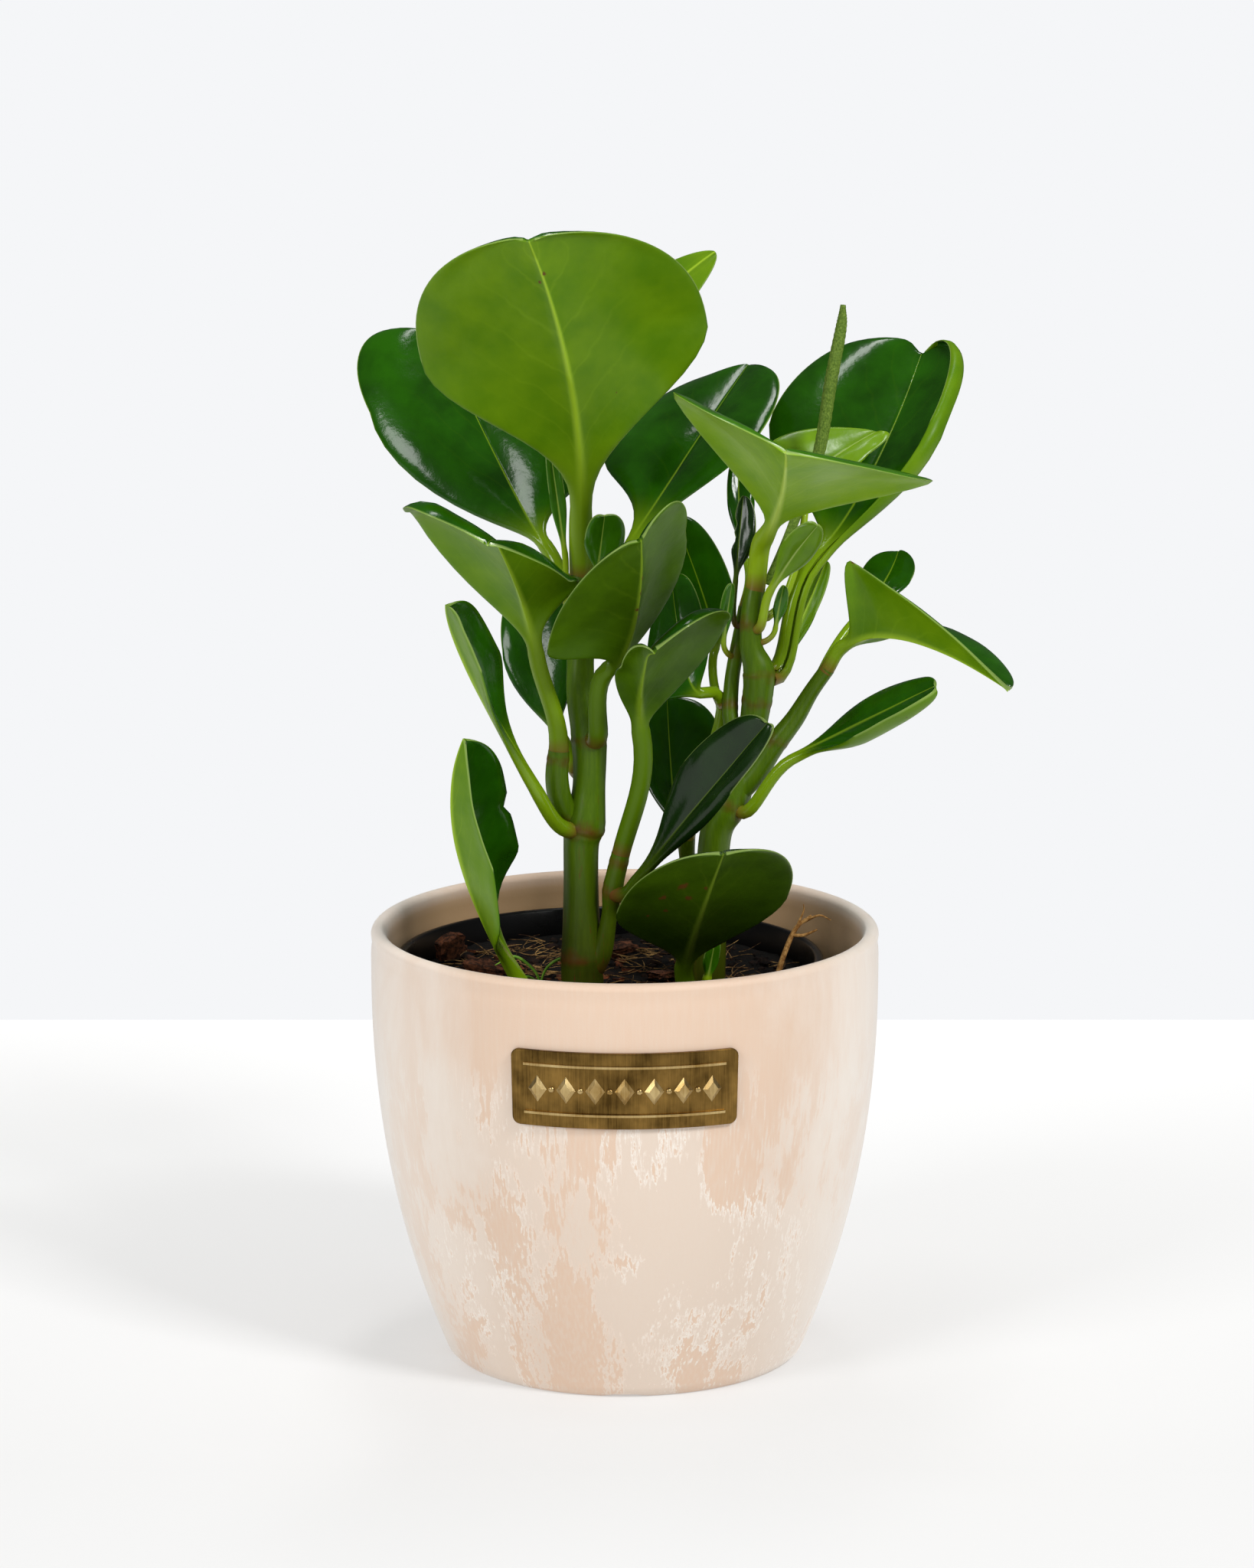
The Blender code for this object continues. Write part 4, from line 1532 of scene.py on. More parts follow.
LEAVES = [
    Leaf("leaf_crown", LEFT_STEM, "end",
         (-11, -13, 121), (-15, -40, 168), (-23, -60, 196.8), (20, -26, 174), (-50, -30, 163), 2.9,
         notch=0.9, wave=1.0,
         scars=(Scar(-0.02, 0.88, 0.8), Scar(0.04, 0.85, 0.7), Scar(-0.42, 0.42, 0.35))),
    Leaf("leaf_crown_back", LEFT_STEM, 103,
         (-20, 0, 112), (-34, 14, 135), (-48, 34, 161), (-65, 20, 143), (-10, 9, 134), 1.9,
         bows=(0.09, 0.09), wave=1.0),
    Leaf("leaf_crown_rear", LEFT_STEM, 97,
         (-10, -1, 128), (2, 13, 165), (23, 20, 184), (8, 9, 160), (-4, 17, 170), 1.2,
         left_power=1.7, right_power=1.7, bows=(0.02, 0.02)),
    Leaf("leaf_crown_bud", LEFT_STEM, 98,
         (-15, -11, 112), (-17, -9, 126), (-19, -6, 140), (-19, -9, 127), (-15, -9, 127), 0.8,
         age=Age.YOUNG),
    Leaf("leaf_left_cup", LEFT_SHOOT, "end",
         (-22, -30, 90), (-27, -46, 112), (-32, -62, 126), (-12, -40, 112), (-52, -46, 130), 2.1,
         5, droop=3.4),
    Leaf("leaf_front_cup", LEFT_STEM, 66,
         (-4, -29, 86), (3, -44, 105), (4, -62, 125), (15, -44, 123), (-19, -44, 94), 2.3,
         notch=1.5, age=Age.MATURE,
         scars=(Scar(0.0, 0.60, 1.0), Scar(-0.02, 0.70, 0.9), Scar(-0.03, 0.78, 0.9),
                Scar(-0.08, 0.50, 0.8))),
    Leaf("leaf_left_fold", LEFT_STEM, 43,
         (-22.5, -34, 57), (-38, -46, 89), (-43, -58, 107), (-35, -52, 90), (-31, -37, 92), 1.8,
         widest=0.5),
    Leaf("leaf_left_inner", LEFT_STEM, 57,
         (-16, -11, 65), (-21, -6, 82), (-23, 4, 100), (-31, -4, 86), (-12, -6, 86), 1.6),
    Leaf("leaf_left_low", None, (-26, -24, 0.4),
         (-26.5, -24.5, 5), (-41, -37, 42), (-39.5, -46, 71.5), (-31, -47, 38), (-27, -25, 40), 2.2,
         widest=0.5, left_power=1.2, left_widest=0.32, wave=0.9,
         bites=(Bite(1, 0.68, 2.2, 2.0),)),
    Leaf("leaf_front_low", None, (16, -18, 0.4),
         (15, -20, 8), (19, -38, 26), (24, -60, 46), (41, -38, 31), (-2, -42, 27), 2.4,
         age=Age.OLD,
         scars=(Scar(0.35, 0.80, 1.7), Scar(0.22, 0.72, 1.2), Scar(0.52, 0.72, 1.3),
                Scar(0.42, 0.62, 0.8), Scar(0.06, 0.80, 0.9), Scar(0.62, 0.58, 0.7))),
    Leaf("leaf_front_bract", None, (21, -16, 0.4),
         (21, -16, 4), (22, -17, 9), (23, -18, 15), (20, -16, 9), (24, -16, 9), 1.2,
         age=Age.YOUNG),
    Leaf("leaf_middle_cup", MIDDLE_SHOOT, "end",
         (4, -28, 70), (4, -40, 85), (6, -58, 98), (25, -36, 101), (-2, -40, 90), 2.4,
         age=Age.MATURE, droop=2.6, scars=(Scar(-0.55, 0.86, 0.6),)),
    Leaf("leaf_centre", THIN_STEM, "end",
         (19.5, -4, 75), (14.5, 0, 85), (12, 10, 102), (6, -3.5, 74), (20.5, 1, 91), 1.5),
    Leaf("leaf_centre_back", BACK_SHOOT, 71,
         (23, 7, 84), (20, 22, 96), (13, 38, 113), (10, 27, 95), (27, 24, 100), 1.1),
    Leaf("leaf_back_tall", LEFT_STEM, 88,
         (0, 4, 109), (19, 22, 136), (32, 42, 152), (-4, 30, 132), (34, 14, 138), 1.9,
         bows=(0.08, 0.08), wave=1.0),
    Leaf("leaf_axil_upper", LEFT_STEM, 93,
         (-7, -17, 108), (-6, -18, 115), (-5, -20, 123), (-10, -18, 117), (0, -18, 117), 0.9,
         age=Age.YOUNG),
    Leaf("leaf_back_low", THIN_STEM, 26,
         (14, 11, 36), (12, 22, 49), (11, 36, 65), (4, 24, 53), (26, 24, 53), 1.4,
         age=Age.MATURE),
    Leaf("leaf_front_curl", MIDDLE_SHOOT, 28,
         (3, -30, 32), (21, -48, 59), (35, -58, 78), (15, -44, 66), (26, -54, 60), 1.8,
         age=Age.OLD, wave=1.2),
    Leaf("leaf_right_fan", RIGHT_STEM, "end",
         (35, -6, 115), (39, -34, 132), (39, -60, 146), (76, -32, 134), (12, -38, 157), 2.5, 8,
         left_power=1.7, right_power=1.7, base_power=3.2, droop=0.8, age=Age.YOUNG),
    Leaf("leaf_right_tall", RIGHT_STEM, 79,
         (48, 6, 107), (66, 26, 132), (78, 48, 156), (38, 34, 141), (88.5, 16.5, 140), 2.2,
         notch=2.5, bows=(0.08, 0.0), roll=175.0, wave=1.0),
    Leaf("leaf_young", RIGHT_STEM, 94,
         (46, 9, 125), (53, 15, 132), (64, 20, 138), (37, 15, 136), (62, 15, 133), 0.9,
         age=Age.BUD),
    Leaf("leaf_right_bract", RIGHT_STEM, 91,
         (36.5, -9, 102), (43, -13, 113), (48, -16, 120), (40, -14, 116), (47, -12, 111), 1.1,
         age=Age.BUD),
    Leaf("leaf_shoot_back", BACK_SHOOT, "end",
         (31, 6, 106), (29, 12, 122), (29, 18, 133), (26, 12, 122), (33, 12, 122), 0.8),
    Leaf("leaf_shoot_dark", BACK_SHOOT, 91,
         (28, 0, 103), (29, 2, 114), (30, 5, 124), (27, 1, 114), (33, 1, 114), 0.7,
         age=Age.OLD, bites=(Bite(-1, 0.6, 1.2, 1.6), Bite(-1, 0.75, 1.0, 1.2))),
    Leaf("leaf_sheath_left", BACK_SHOOT, 83,
         (25, -3, 88), (26, -4, 96), (27, -4, 103), (24, -4, 97), (27.5, -4, 97), 0.7,
         age=Age.YOUNG),
    Leaf("leaf_sheath_right", RIGHT_STEM, 88,
         (38, -6, 92), (39, -6, 98), (40, -6, 103), (37.5, -6, 98), (41, -6, 98), 0.7,
         age=Age.YOUNG),
    Leaf("leaf_right_sliver", RIGHT_STEM, 73,
         (38, 5, 78), (46, 16, 91), (52, 27, 103), (49, 17, 92), (43, 19, 91), 0.9),
    Leaf("leaf_branch_round", RIGHT_BRANCH, 80,
         (58, 2, 92), (67, 12, 102), (70, 20, 107), (60, 12, 103), (73, 12, 101), 1.2),
    Leaf("leaf_branch_long", RIGHT_BRANCH, "end",
         (55, -14, 89), (66, -20, 93), (94.8, -40, 83), (74, -9, 94), (56, -22, 112), 1.8,
         widest=0.35, right_power=1.05, scars=(Scar(1.0, 0.36, 0.9),)),
    Leaf("leaf_branch_low", RIGHT_STEM, 47,
         (42, -15, 60), (58, -21, 70), (77, -33, 82), (60.5, -16, 76), (57, -30, 69.5), 1.5,
         widest=0.5, bows=(0.05, -0.45),
         scars=(Scar(0.4, 0.97, 1.2), Scar(0.8, 0.8, 0.4))),
]

LEAF_SKINS = {
    Age.BUD: WaxyLeaf(
        "bud_leaf", "6E9608", "547C04", "92B432", "7A9C1C", "CADC80", "8CAA18", gloss=0.28
    ),
    Age.YOUNG: WaxyLeaf(
        "young_leaf", "3A7004", "2A5A02", "82A80A", "6C9604", "BCD45C", "86A410", gloss=0.24
    ),
    Age.GROWN: WaxyLeaf(
        "grown_leaf", "205402", "143C01", "628604", "4E7600", "98B82A", "70900C"
    ),
    Age.MATURE: WaxyLeaf(
        "mature_leaf", "143E02", "0C2A01", "466802", "345200", "809E22", "4E6C04",
        base_shade=0.25,
    ),
    # The old skin is darker than age alone makes it: painted shade for the low leaves that lie in
    # the plant's shade.
    Age.OLD: WaxyLeaf(
        "old_leaf", "142E08", "0A1F04", "385402", "284000", "6C8422", "3C5402",
        gloss=0.22, base_shade=0.6,
    ),
}


class LeafMaker:
    """Builds one leaf: a round petiole that opens into a thin blade with a raised midrib."""

    ACROSS = (1.0, 0.985, 0.95, 0.88, 0.78, 0.66, 0.54, 0.42, 0.31, 0.21, 0.13, 0.07, 0.03)
    PETIOLE_STEPS = 10
    BASE_STEPS = 14
    TIP_STEPS = 22
    TIP_TURN = 88.5
    HALF_THICK = 0.55 * MM
    START_FLARE = 1.25
    BURIED = 2.5 * MM
    GROOVE = 0.35
    DROOP_REACH = 6.0 * MM
    ROLLED = 0.42

    def __init__(self, leaf: Leaf) -> None:
        """Works out the leaf's curves.

        Args:
            leaf: the leaf to build.
        """
        self.leaf = leaf
        points = (leaf.neck, leaf.middle, leaf.tip, leaf.left, leaf.right)
        self.neck, self.middle, self.tip, self.left, self.right = map(planted, points)
        self.radius = leaf.petiole * MM
        share = leaf.widest
        rest = self.middle - self.neck * (1 - share) ** 2 - self.tip * share**2
        self.control = rest / (2 * share * (1 - share))
        self.start_radius = self.radius * self.START_FLARE
        self.handles = self.petiole_handles()
        self.rings: Rings = []
        self.marks: Marks = {name: [] for name in LEAF_MARKS}
        self.spread = [*self.ACROSS, 0.0, *(-place for place in self.ACROSS[::-1])]
        self.back = [-place for place in self.spread[1:-1]]

    def petiole_handles(self) -> tuple[Vector, Vector, Vector, Vector]:
        """Handles of the petiole's curve, which starts inside its stem or the mix.

        Returns:
            The four handles, from the foot to the neck.
        """
        leaf = self.leaf
        opening = (self.control - self.neck).normalized()
        if leaf.stem is None:
            foot = planted(leaf.joint) - Vector((0.0, 0.0, self.BURIED))
            out = Vector((0.0, 0.0, 1.0))
        else:
            axis = leaf.stem.axis(8)
            if leaf.joint == "end":
                out = (axis[-1][0] - axis[-2][0]).normalized()
                foot = axis[-1][0] - out * 1.0 * MM
                self.start_radius = axis[-1][1]
            else:
                level = planted((0.0, 0.0, leaf.joint)).z
                index = min(range(1, len(axis) - 1), key=lambda near: abs(axis[near][0].z - level))
                centre, radius = axis[index]
                along = (axis[index + 1][0] - axis[index - 1][0]).normalized()
                out = self.neck - centre
                out = (out - along * out.dot(along)).normalized()
                foot = centre + out * max(0.0, radius - 0.6 * self.radius)
        span = (self.neck - foot).length
        straight = leaf.joint == "end" or leaf.stem is None
        lead = 0.35 * span if straight else max(2.2 * self.radius, 0.3 * span)
        return (foot, foot + out * lead, self.neck - opening * 0.4 * span, self.neck)

    def square_side(self, along: Vector) -> Vector:
        """Sideways direction, square to a direction of growth."""
        side = self.right - self.left
        return (side - along * side.dot(along)).normalized()

    def add_ring(
        self,
        centre: Vector,
        margins: tuple[Vector, Vector],
        upward: Vector,
        thick: float,
        place: float,
        share: float,
        foot: float,
    ) -> None:
        """Adds one ring across the petiole or blade.

        Args:
            centre: the midrib's place.
            margins: the margins left and right, from the midrib.
            upward: direction of the upper side.
            thick: half the thickness.
            place: how far along the blade, below 0 on the petiole.
            share: how far the blade has opened, 0 to 1.
            foot: distance from the leaf's foot in metres.
        """
        leaf = self.leaf
        along = (self.tip - self.neck).normalized()
        roundness = 2.0 + 8.0 * smooth(share * 1.6)
        rib_high = share * (0.9 * (1.0 - place) + 0.12) * MM if share > 0.0 else 0.0
        rib_wide = (1.5 - 1.0 * max(0.0, place)) * MM
        ring = []
        kept: dict[str, list[float]] = {name: [] for name in self.marks}
        for index, across in enumerate(self.spread + self.back):
            over = index < len(self.spread)
            margin = margins[1] if across > 0.0 else margins[0]
            reach = abs(across)
            away = reach * margin.length
            body = thick * math.sqrt(max(0.0, 1.0 - reach**roundness))
            lift = body if over else -body
            side_bow = leaf.bows[1] if across > 0.0 else leaf.bows[0]
            lift += side_bow * share * 4 * reach * (1.0 - reach) * margin.length
            rim = min(margin.length - away, (1.0 - place) * (self.tip - self.neck).length)
            beyond = smooth((place - leaf.widest * 0.85) / 0.15)
            lift -= leaf.droop * MM * beyond * max(0.0, 1.0 - rim / self.DROOP_REACH) ** 2
            ridge = rib_high * bell(away, rib_wide)
            lift -= self.GROOVE * ridge if over else ridge
            if share > 0.0:
                key = Vector((place * 2.4, across * 1.3, len(leaf.name) * 3.7))
                sway = noise.noise(key) + 0.4 * noise.noise(key * 2.7)
                lift += leaf.wave * MM * sway * share * (0.25 + reach)
            spread = reach
            flat = 1.0 - self.ROLLED
            if leaf.roll and across > 0.0 and reach > flat:
                bend = math.radians(leaf.roll) * (reach - flat) / self.ROLLED
                turn = self.ROLLED / math.radians(leaf.roll) * margin.length
                spread = flat + (turn - lift) * math.sin(bend) / max(margin.length, MM)
                lift = turn - (turn - lift) * math.cos(bend)
            spot = centre + margin * spread + upward * lift
            pull = leaf.notch * MM * bell(away, 2.2 * MM + 0.3 * leaf.notch * MM)
            spot -= along * pull * smooth((place - 0.82) / 0.18)
            ring.append(spot)
            kept["across"].append(across)
            kept["along"].append(place)
            kept["upper"].append(0.5 if reach == 1.0 else float(over))
            kept["rib_mm"].append(away / MM)
            kept["edge_mm"].append((margin.length - away) / MM + 9.0 * (1.0 - share))
            kept["stalk"].append(smooth(1.0 - share * 1.8))
            kept["foot_mm"].append(foot / MM)
        self.rings.append(ring)
        for name, values in kept.items():
            self.marks[name].append(values)

    def add_petiole(self) -> float:
        """Adds the petiole's rings.

        Returns:
            The length in metres.
        """
        span = 0.0
        before = self.handles[0]
        for step in range(self.PETIOLE_STEPS):
            share = step / self.PETIOLE_STEPS
            centre = bezier(self.handles, share)
            span += (centre - before).length
            before = centre
            along = (bezier(self.handles, share + 0.02) - centre).normalized()
            side = self.square_side(along)
            radius = self.radius + (self.start_radius - self.radius) * (1.0 - share) ** 3
            margins = (-side * radius, side * radius)
            self.add_ring(centre, margins, side.cross(along), radius, -1.0 + share, 0.0, span)
        return span + (self.neck - before).length

    def side_width(self, place: float, widest: float, power: float) -> float:
        """Share of a side's full width at a place along the blade.

        Args:
            place: how far along the blade, 0 to 1.
            widest: where the side is widest.
            power: how full the side is past there.

        Returns:
            The share, 0 to 1.
        """
        if place < widest:
            return ((1.0 - math.cos(math.pi * place / widest)) / 2) ** self.leaf.base_power
        return max(0.0, 1.0 - ((place - widest) / (1.0 - widest)) ** power) ** (1 / power)

    def stations(self) -> list[float]:
        """Places along the midrib at which the blade gets a ring.

        Returns:
            The places, from 0 at the neck to nearly 1 at the tip.
        """
        widest = self.leaf.widest
        made = [widest * step / self.BASE_STEPS for step in range(self.BASE_STEPS)]
        for step in range(self.TIP_STEPS + 1):
            turn = math.sin(math.radians(self.TIP_TURN * step / self.TIP_STEPS))
            made.append(widest + (1.0 - widest) * turn)
        return made

    def bitten(self, side: int, place: float, length: float) -> float:
        """Share of a margin that its nicks leave, at a place along the blade.

        Args:
            side: -1 for left or 1 for right.
            place: how far along the blade, 0 to 1.
            length: the side's width there in metres.

        Returns:
            The share that is left.
        """
        left = 1.0
        span = (self.tip - self.neck).length
        for bite in self.leaf.bites:
            if bite.side == side:
                near = bell((place - bite.along) * span / MM, bite.length)
                left -= near * bite.depth * MM / max(length, 1.0 * MM)
        return max(0.3, left)

    def add_blade(self, foot: float) -> None:
        """Adds the blade's rings, from the neck to the tip.

        Args:
            foot: the petiole's length in metres.
        """
        leaf = self.leaf
        for place in self.stations():
            widths = (
                self.side_width(place, leaf.left_widest or leaf.widest, leaf.left_power),
                self.side_width(place, leaf.widest, leaf.right_power),
            )
            rest = 1 - place
            centre = self.neck * rest**2 + self.control * 2 * place * rest + self.tip * place**2
            ahead = (self.control - self.neck) * rest + (self.tip - self.control) * place
            along = ahead.normalized()
            side = self.square_side(along)
            share = min(1.0, place / leaf.widest)
            margins = []
            spans = ((-side, self.left, widths[0], -1), (side, self.right, widths[1], 1))
            for square, widest, width, way in spans:
                margin = widest - self.middle
                heading = square.lerp(margin.normalized(), share).normalized()
                length = self.radius * (1 - share) + margin.length * width
                margins.append(heading * length * self.bitten(way, place, length))
            upward = (margins[1] - margins[0]).cross(along).normalized()
            sink = leaf.curl * MM * max(widths) * (place - leaf.widest) / (1 - leaf.widest)
            margins = [margin - upward * sink for margin in margins]
            thick = self.HALF_THICK + (self.radius - self.HALF_THICK) * (1 - share) ** 3
            thick = min(thick, 0.9 * max(margin.length for margin in margins) + 0.05 * MM)
            sides = (margins[0], margins[1])
            self.add_ring(centre, sides, upward, thick, place, max(share, 0.001), foot + 1.0)

    def build(self, materials: dict[Age, bpy.types.Material]) -> None:
        """Builds the leaf as one piece.

        Args:
            materials: the plain finish for each age.
        """
        leaf = self.leaf
        foot = self.add_petiole()
        self.add_blade(foot)
        surface = materials[leaf.age]
        if leaf.scars:
            half = max((self.left - self.middle).length, (self.right - self.middle).length) / MM
            length = (self.tip - self.neck).length / MM
            surface = LEAF_SKINS[leaf.age].build(leaf.scars, half, length)
            surface.name = "scarred_" + leaf.name
        name = leaf.name.replace("leaf_", "blade_")
        bm = bend_skin(self.rings, self.marks)
        make_piece(name, bm, surface, [leaf.name], 70.0)


@dataclass
class Plant:
    """The plant above the mix: stems, leaves, the flower spike, a sprout and a dry root."""

    stem_skin: FleshyStem = field(default_factory=FleshyStem)
    sides: int = 28
    spike_sides: int = 32
    bud_rows: int = 8
    bud_high: float = 0.075
    litter_seed: int = 5

    def build_stem(
        self, stem: Stem, material: bpy.types.Material, stands_for: Sequence[str]
    ) -> None:
        """Builds a stem with swollen joints and a thin scar ring at each.

        Args:
            stem: the stem.
            material: its finish.
            stands_for: CAD nodes that it replaces.
        """
        axis = []
        away = []
        for centre, radius in stem.axis(12):
            height = (centre.z - MIX_TOP) / MM
            near = min((abs(height - joint) for joint in stem.joints), default=99.0)
            # A joint swells, and its leaf scar is a thin groove just beside it.
            swell = 1.0 + 0.07 * bell(near, 2.2) - 0.035 * bell(near - 1.1, 0.45)
            axis.append((centre, radius * swell))
            away.append([near] * self.sides)
        rings = tube_rings(axis, self.sides)
        for ring, (centre, radius) in zip(rings, axis):
            for index, spot in enumerate(ring):
                push = noise.noise(Vector((spot.x, spot.y, spot.z * 0.35)) * 190.0)
                ring[index] = centre + (spot - centre) * (1.0 + 0.035 * push)
        bm = bend_skin(rings, {"joint_mm": away})
        make_piece(stem.name + "_skin", bm, material, stands_for, 60.0)

    def build_stems(self) -> None:
        """Builds every stem and shoot."""
        material = self.stem_skin.build()
        for stem, stands_for in (
            (LEFT_STEM, ["stem_left"]),
            (LEFT_SHOOT, []),
            (MIDDLE_SHOOT, []),
            (RIGHT_STEM, ["stem_right"]),
            (RIGHT_BRANCH, []),
            (BACK_SHOOT, []),
            (THIN_STEM, ["stem_thin"]),
        ):
            self.build_stem(stem, material, stands_for)

    def build_leaves(self) -> None:
        """Builds every leaf."""
        materials = {age: skin.build() for age, skin in LEAF_SKINS.items()}
        for leaf in LEAVES:
            LeafMaker(leaf).build(materials)

    def build_spike(self) -> None:
        """Builds the flower spike, covered in rows of tiny buds that wind round it."""
        spike = Stem(
            "flower_spike",
            [(36, 1, 102), (40.5, 2, 112), (44, 3, 121), (49, 5, 135), (52, 7, 153), (54.5, 9, 166),
             (55, 9, 172)],
            [1.1, 1.2, 1.3, 1.5, 1.6, 1.4, 0.7],
        )
        axis = spike.axis(26)
        rings = tube_rings(axis, self.spike_sides)
        for row, (ring, (centre, _)) in enumerate(zip(rings, axis)):
            height = (centre.z - MIX_TOP) / MM
            budded = smooth((height - 121.0) / 6.0)
            for index, spot in enumerate(ring):
                turn = math.tau * index / self.spike_sides * self.bud_rows
                bud = math.sin(turn + row * 0.9) * math.sin(turn - row * 0.9)
                ring[index] = centre + (spot - centre) * (1.0 + self.bud_high * budded * bud)
        skin = Earthy("budded_spike", "4C681A", "7C9638", 0.5, 0.5, 0.3)
        bm = bend_skin(rings)
        make_piece("spike_skin", bm, skin.build(), ["flower_spike"], 80.0)

    def build_litter(self) -> None:
        """Builds the dry root with its fork, the sprout, and the four larger bark chips."""
        straw = Earthy("dry_root_bark", "7A5226", "C79A5C", 1.2).build()
        root = Stem(
            "dry_root", [(39, 2, -1), (41, 4, 5), (44, 7, 11), (48, 9, 14)], [0.7, 0.7, 0.6, 0.3]
        )
        forks = [
            Stem("fork", [(43, 6, 9.5), (46, 6, 9.5), (49.5, 6, 11)], [0.5, 0.45, 0.25]),
            Stem("fork", [(46, 8, 12.5), (50, 7, 14.5), (53, 8, 13)], [0.4, 0.3, 0.15]),
            Stem("fork", [(44, 7, 11), (46, 9, 15), (46, 9, 17)], [0.35, 0.25, 0.12]),
        ]
        whole = bend_skin(tube_rings(root.axis(8), 10))
        for fork in forks:
            merged(whole, bend_skin(tube_rings(fork.axis(6), 8)))
        make_piece("root_skin", whole, straw, ["dry_root"], 80.0)
        sprout = [
            Stem("sprout", [(-21, -10, -1), (-23, -10, 4), (-28, -11, 8), (-33, -12, 6)],
                 [0.35, 0.35, 0.4, 0.15]),
            Stem("sprout", [(-22, -11, -1), (-20, -12, 5), (-16, -13, 8), (-12, -14, 7)],
                 [0.3, 0.35, 0.4, 0.12]),
            Stem("sprout", [(-22, -10, 1), (-25, -12, 3), (-27, -14, 1)], [0.3, 0.35, 0.12]),
        ]
        threads = bmesh.new()
        for thread in sprout:
            merged(threads, bend_skin(tube_rings(thread.axis(6), 8)))
        green = Earthy("sprout_skin", "4E7F1C", "7FA63A", 1.5, 0.45, 0.1).build()
        make_piece("sprout_threads", threads, green, ["sprout"], 80.0)
        random.seed(self.litter_seed)
        bark = Earthy("pine_bark", "26140A", "74442A", 1.6, 0.9, 0.9).build()
        chips = [
            ("chip_left", "bark_chip_left", (-45, 19, 3.5), (7, 3.5, 6), (10, -20, 35)),
            ("chip_front", "bark_chip_front", (-36, 4, 1.6), (10, 5, 2.4), (5, 8, -20)),
            ("chip_right", "bark_chip_right", (10, -2, 1.2), (8, 4, 1.6), (-6, 4, 40)),
            ("chip_middle", "bark_chip_middle", (-2, 25, 1.4), (9, 5, 2.0), (5, -6, 15)),
        ]
        for name, node, middle, size, turn in chips:
            bm = bmesh.new()
            add_chip(bm, planted(middle), size, turn, cuts=3)
            make_piece(name, bm, bark, [node], 35.0)


# Studio -------------------------------------------------------------------------------------


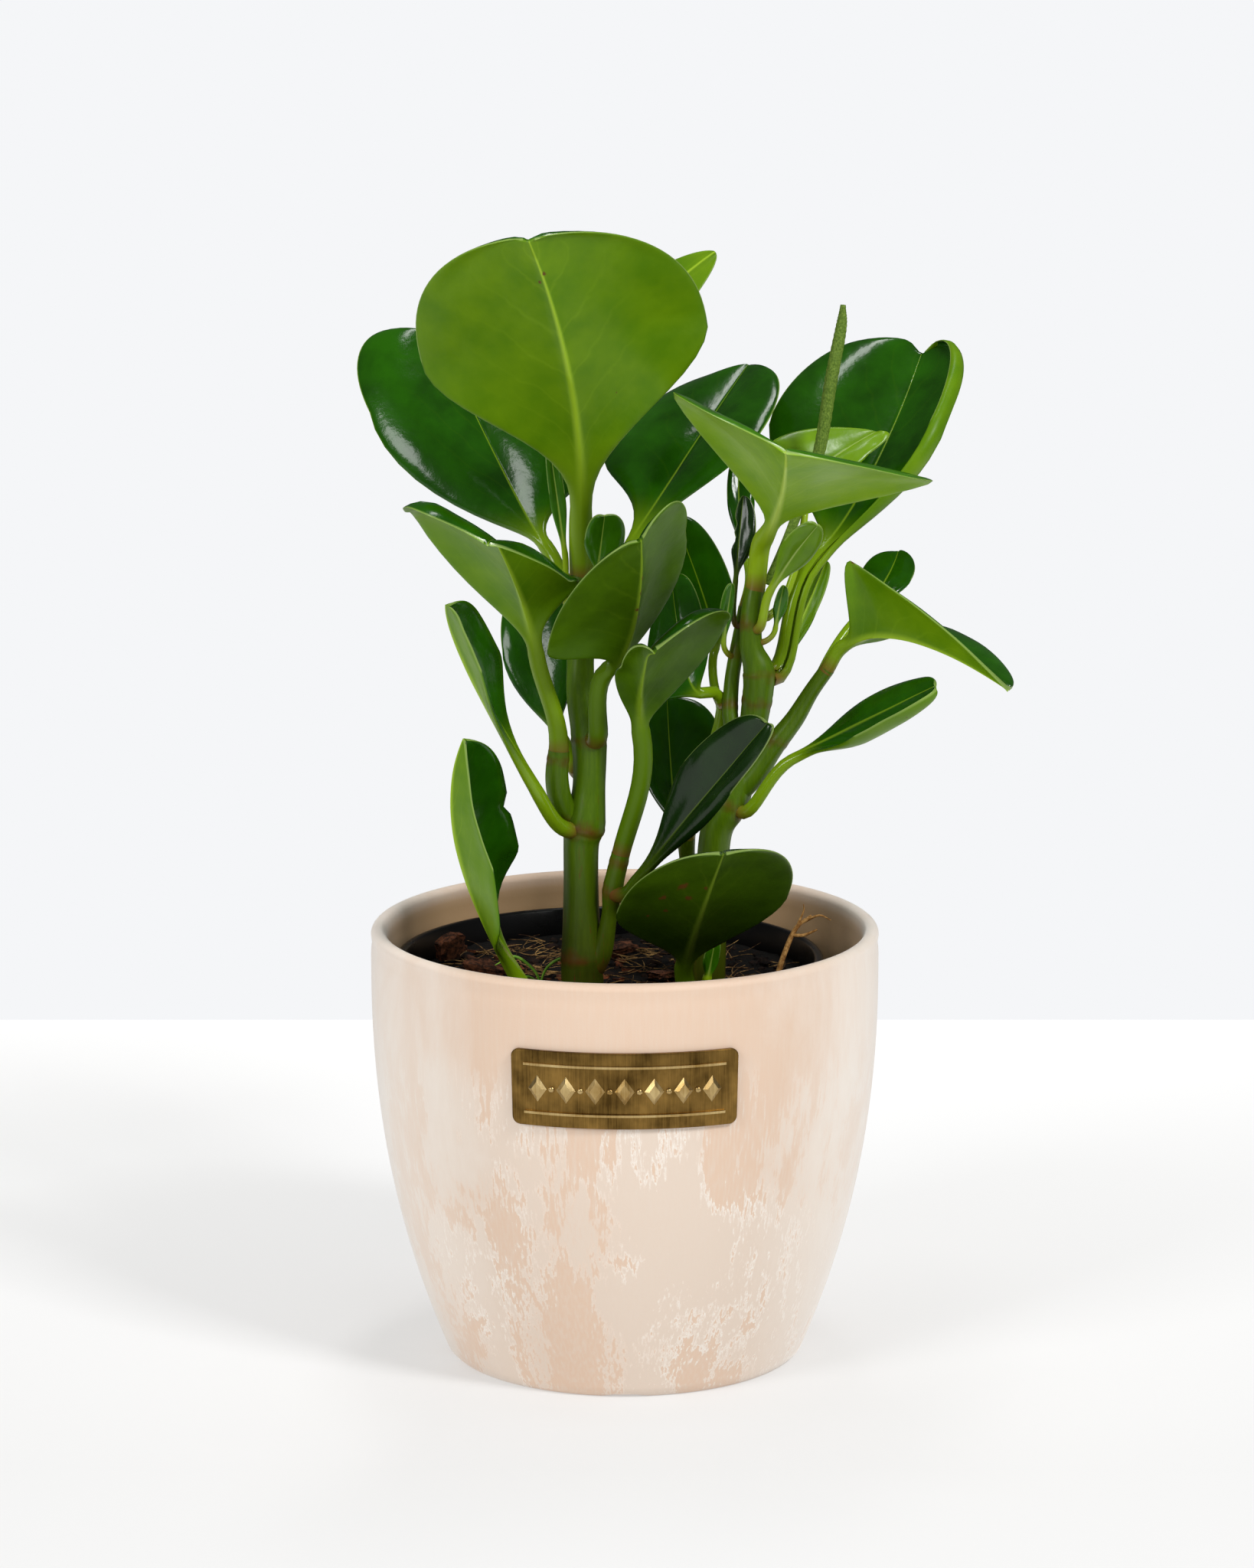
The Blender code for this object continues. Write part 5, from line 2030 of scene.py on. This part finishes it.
@dataclass
class Studio:
    """A white table that glows with painted light, white surroundings, one soft key light from the
    right, and even fill.
    """

    back_edge: float = 0.337
    table_wide: float = 5.0
    table_deep: float = 3.0
    lamp_aim: Point = (0.0, 0.0, 0.14)
    camera_place: Point = (0.00056, -1.4, 0.4464)
    camera_tilt: float = 77.99
    focal: float = 128.98
    sky: float = 0.46
    gloss_sky: float = 0.09
    backdrop: str = "F5F6F8"
    floor_shade: float = 0.5
    floor_glow: tuple[float, float] = (0.32, 0.52)
    lamps: Sequence[tuple[str, Point, tuple[float, float], float]] = (
        ("key", (1.0, -1.0, 1.35), (0.4, 0.4), 19.5),
        ("top_strip", (0.05, 0.2, 1.5), (0.16, 0.7), 4.5),
        ("front_box", (-1.1, -1.1, 0.9), (0.6, 0.6), 11.5),
    )

    def build_floor(self) -> None:
        """Makes the table, whose back edge meets the white surroundings in a level line."""
        graph = Graph("matte_white_table")
        place = graph.add("TexCoord").outputs["Object"]
        depth = graph.add("SeparateXYZ", links={0: place}).outputs[1]
        # The table glows with painted light that lifts it and its shadow, more towards its back
        # edge.
        front_glow, back_glow = self.floor_glow
        glow = graph.add(
            "MapRange",
            {
                "From Min": -0.1,
                "From Max": self.back_edge,
                "To Min": front_glow,
                "To Max": back_glow,
            },
            {"Value": depth},
        ).outputs[0]
        graph.add(
            graph.shader,
            {
                "Base Color": (self.floor_shade, self.floor_shade, self.floor_shade, 1.0),
                "Roughness": 0.9,
                "Emission Color": srgb("FFFFFE"),
                "Specular IOR Level": 0.0,
            },
            {"Emission Strength": glow},
        )
        bm = bmesh.new()
        bmesh.ops.create_grid(bm, x_segments=1, y_segments=1, size=0.5)
        bmesh.ops.scale(bm, vec=(self.table_wide, self.table_deep, 1.0), verts=bm.verts)
        middle = (0.0, self.back_edge - self.table_deep / 2, 0.0)
        bmesh.ops.translate(bm, vec=middle, verts=bm.verts)
        mesh = bpy.data.meshes.new("table_top")
        bm.to_mesh(mesh)
        bm.free()
        mesh.materials.append(graph.material)
        made = bpy.data.objects.new("table_top", mesh)
        bpy.context.scene.collection.objects.link(made)

    def build_light(self) -> None:
        """Adds the lamps, and white surroundings that are plain to look at."""
        for name, place, size, watts in self.lamps:
            lamp = bpy.data.lights.new(name, "AREA")
            lamp.shape = "RECTANGLE"
            lamp.size, lamp.size_y = size
            lamp.energy = watts
            holder = bpy.data.objects.new(name, lamp)
            holder.location = place
            aim = Vector(self.lamp_aim) - Vector(place)
            holder.rotation_euler = aim.to_track_quat("-Z", "Y").to_euler()
            bpy.context.scene.collection.objects.link(holder)
        world = bpy.data.worlds.new("studio_surround")
        world.use_nodes = True
        tree = world.node_tree
        path = tree.nodes.new("ShaderNodeLightPath")
        shown = tree.nodes["Background"]
        shown.inputs["Color"].default_value = (self.sky, self.sky, self.sky, 1.0)
        for sort, shade in (
            ("Is Glossy Ray", (self.gloss_sky, self.gloss_sky, self.gloss_sky, 1.0)),
            ("Is Camera Ray", srgb(self.backdrop)),
        ):
            other = tree.nodes.new("ShaderNodeBackground")
            other.inputs["Color"].default_value = shade
            both = tree.nodes.new("ShaderNodeMixShader")
            tree.links.new(path.outputs[sort], both.inputs[0])
            tree.links.new(shown.outputs[0], both.inputs[1])
            tree.links.new(other.outputs[0], both.inputs[2])
            shown = both
        tree.links.new(shown.outputs[0], tree.nodes["World Output"].inputs[0])
        bpy.context.scene.world = world
        bpy.context.scene.view_settings.view_transform = "Standard"

    def build_camera(self) -> None:
        """Adds the camera."""
        lens = bpy.data.cameras.new("camera")
        lens.lens = self.focal
        lens.sensor_width = 36.0
        camera = bpy.data.objects.new("camera", lens)
        camera.location = self.camera_place
        camera.rotation_euler = (math.radians(self.camera_tilt), 0.0, 0.0)
        bpy.context.scene.collection.objects.link(camera)
        bpy.context.scene.camera = camera


# Order of building --------------------------------------------------------------------------


def main() -> None:
    """Builds the studio, the pots, the mix and the plant."""
    logging.basicConfig(level=logging.INFO, format="%(name)s %(message)s")
    studio = Studio()
    studio.build_camera()
    studio.build_floor()
    studio.build_light()

    cachepot = Cachepot()
    cachepot.build(WashedBisque())
    plate = BrassPlate(cachepot)
    plate.build_ground(AgedBrass())
    plate.build_relief(AgedBrass())
    liner = NurseryPot(cachepot)
    liner.build(BlackPolypropylene())

    mix = PottingMix(liner)
    mix.build_bed(Earthy("peat_bed", "020201", "120A06", 2.2))
    mix.build_crumbs(Earthy("peat_crumb", "050302", "2A160A", 3.0))
    mix.build_fibres(Earthy("coir_fibre", "2E1A0A", "A88450", 5.0))
    mix.build_splinters(Earthy("bark_splinter", "1C0E06", "7A3E1C", 4.0))

    plant = Plant()
    plant.build_stems()
    plant.build_leaves()
    plant.build_spike()
    plant.build_litter()


if __name__ == "__main__":
    main()
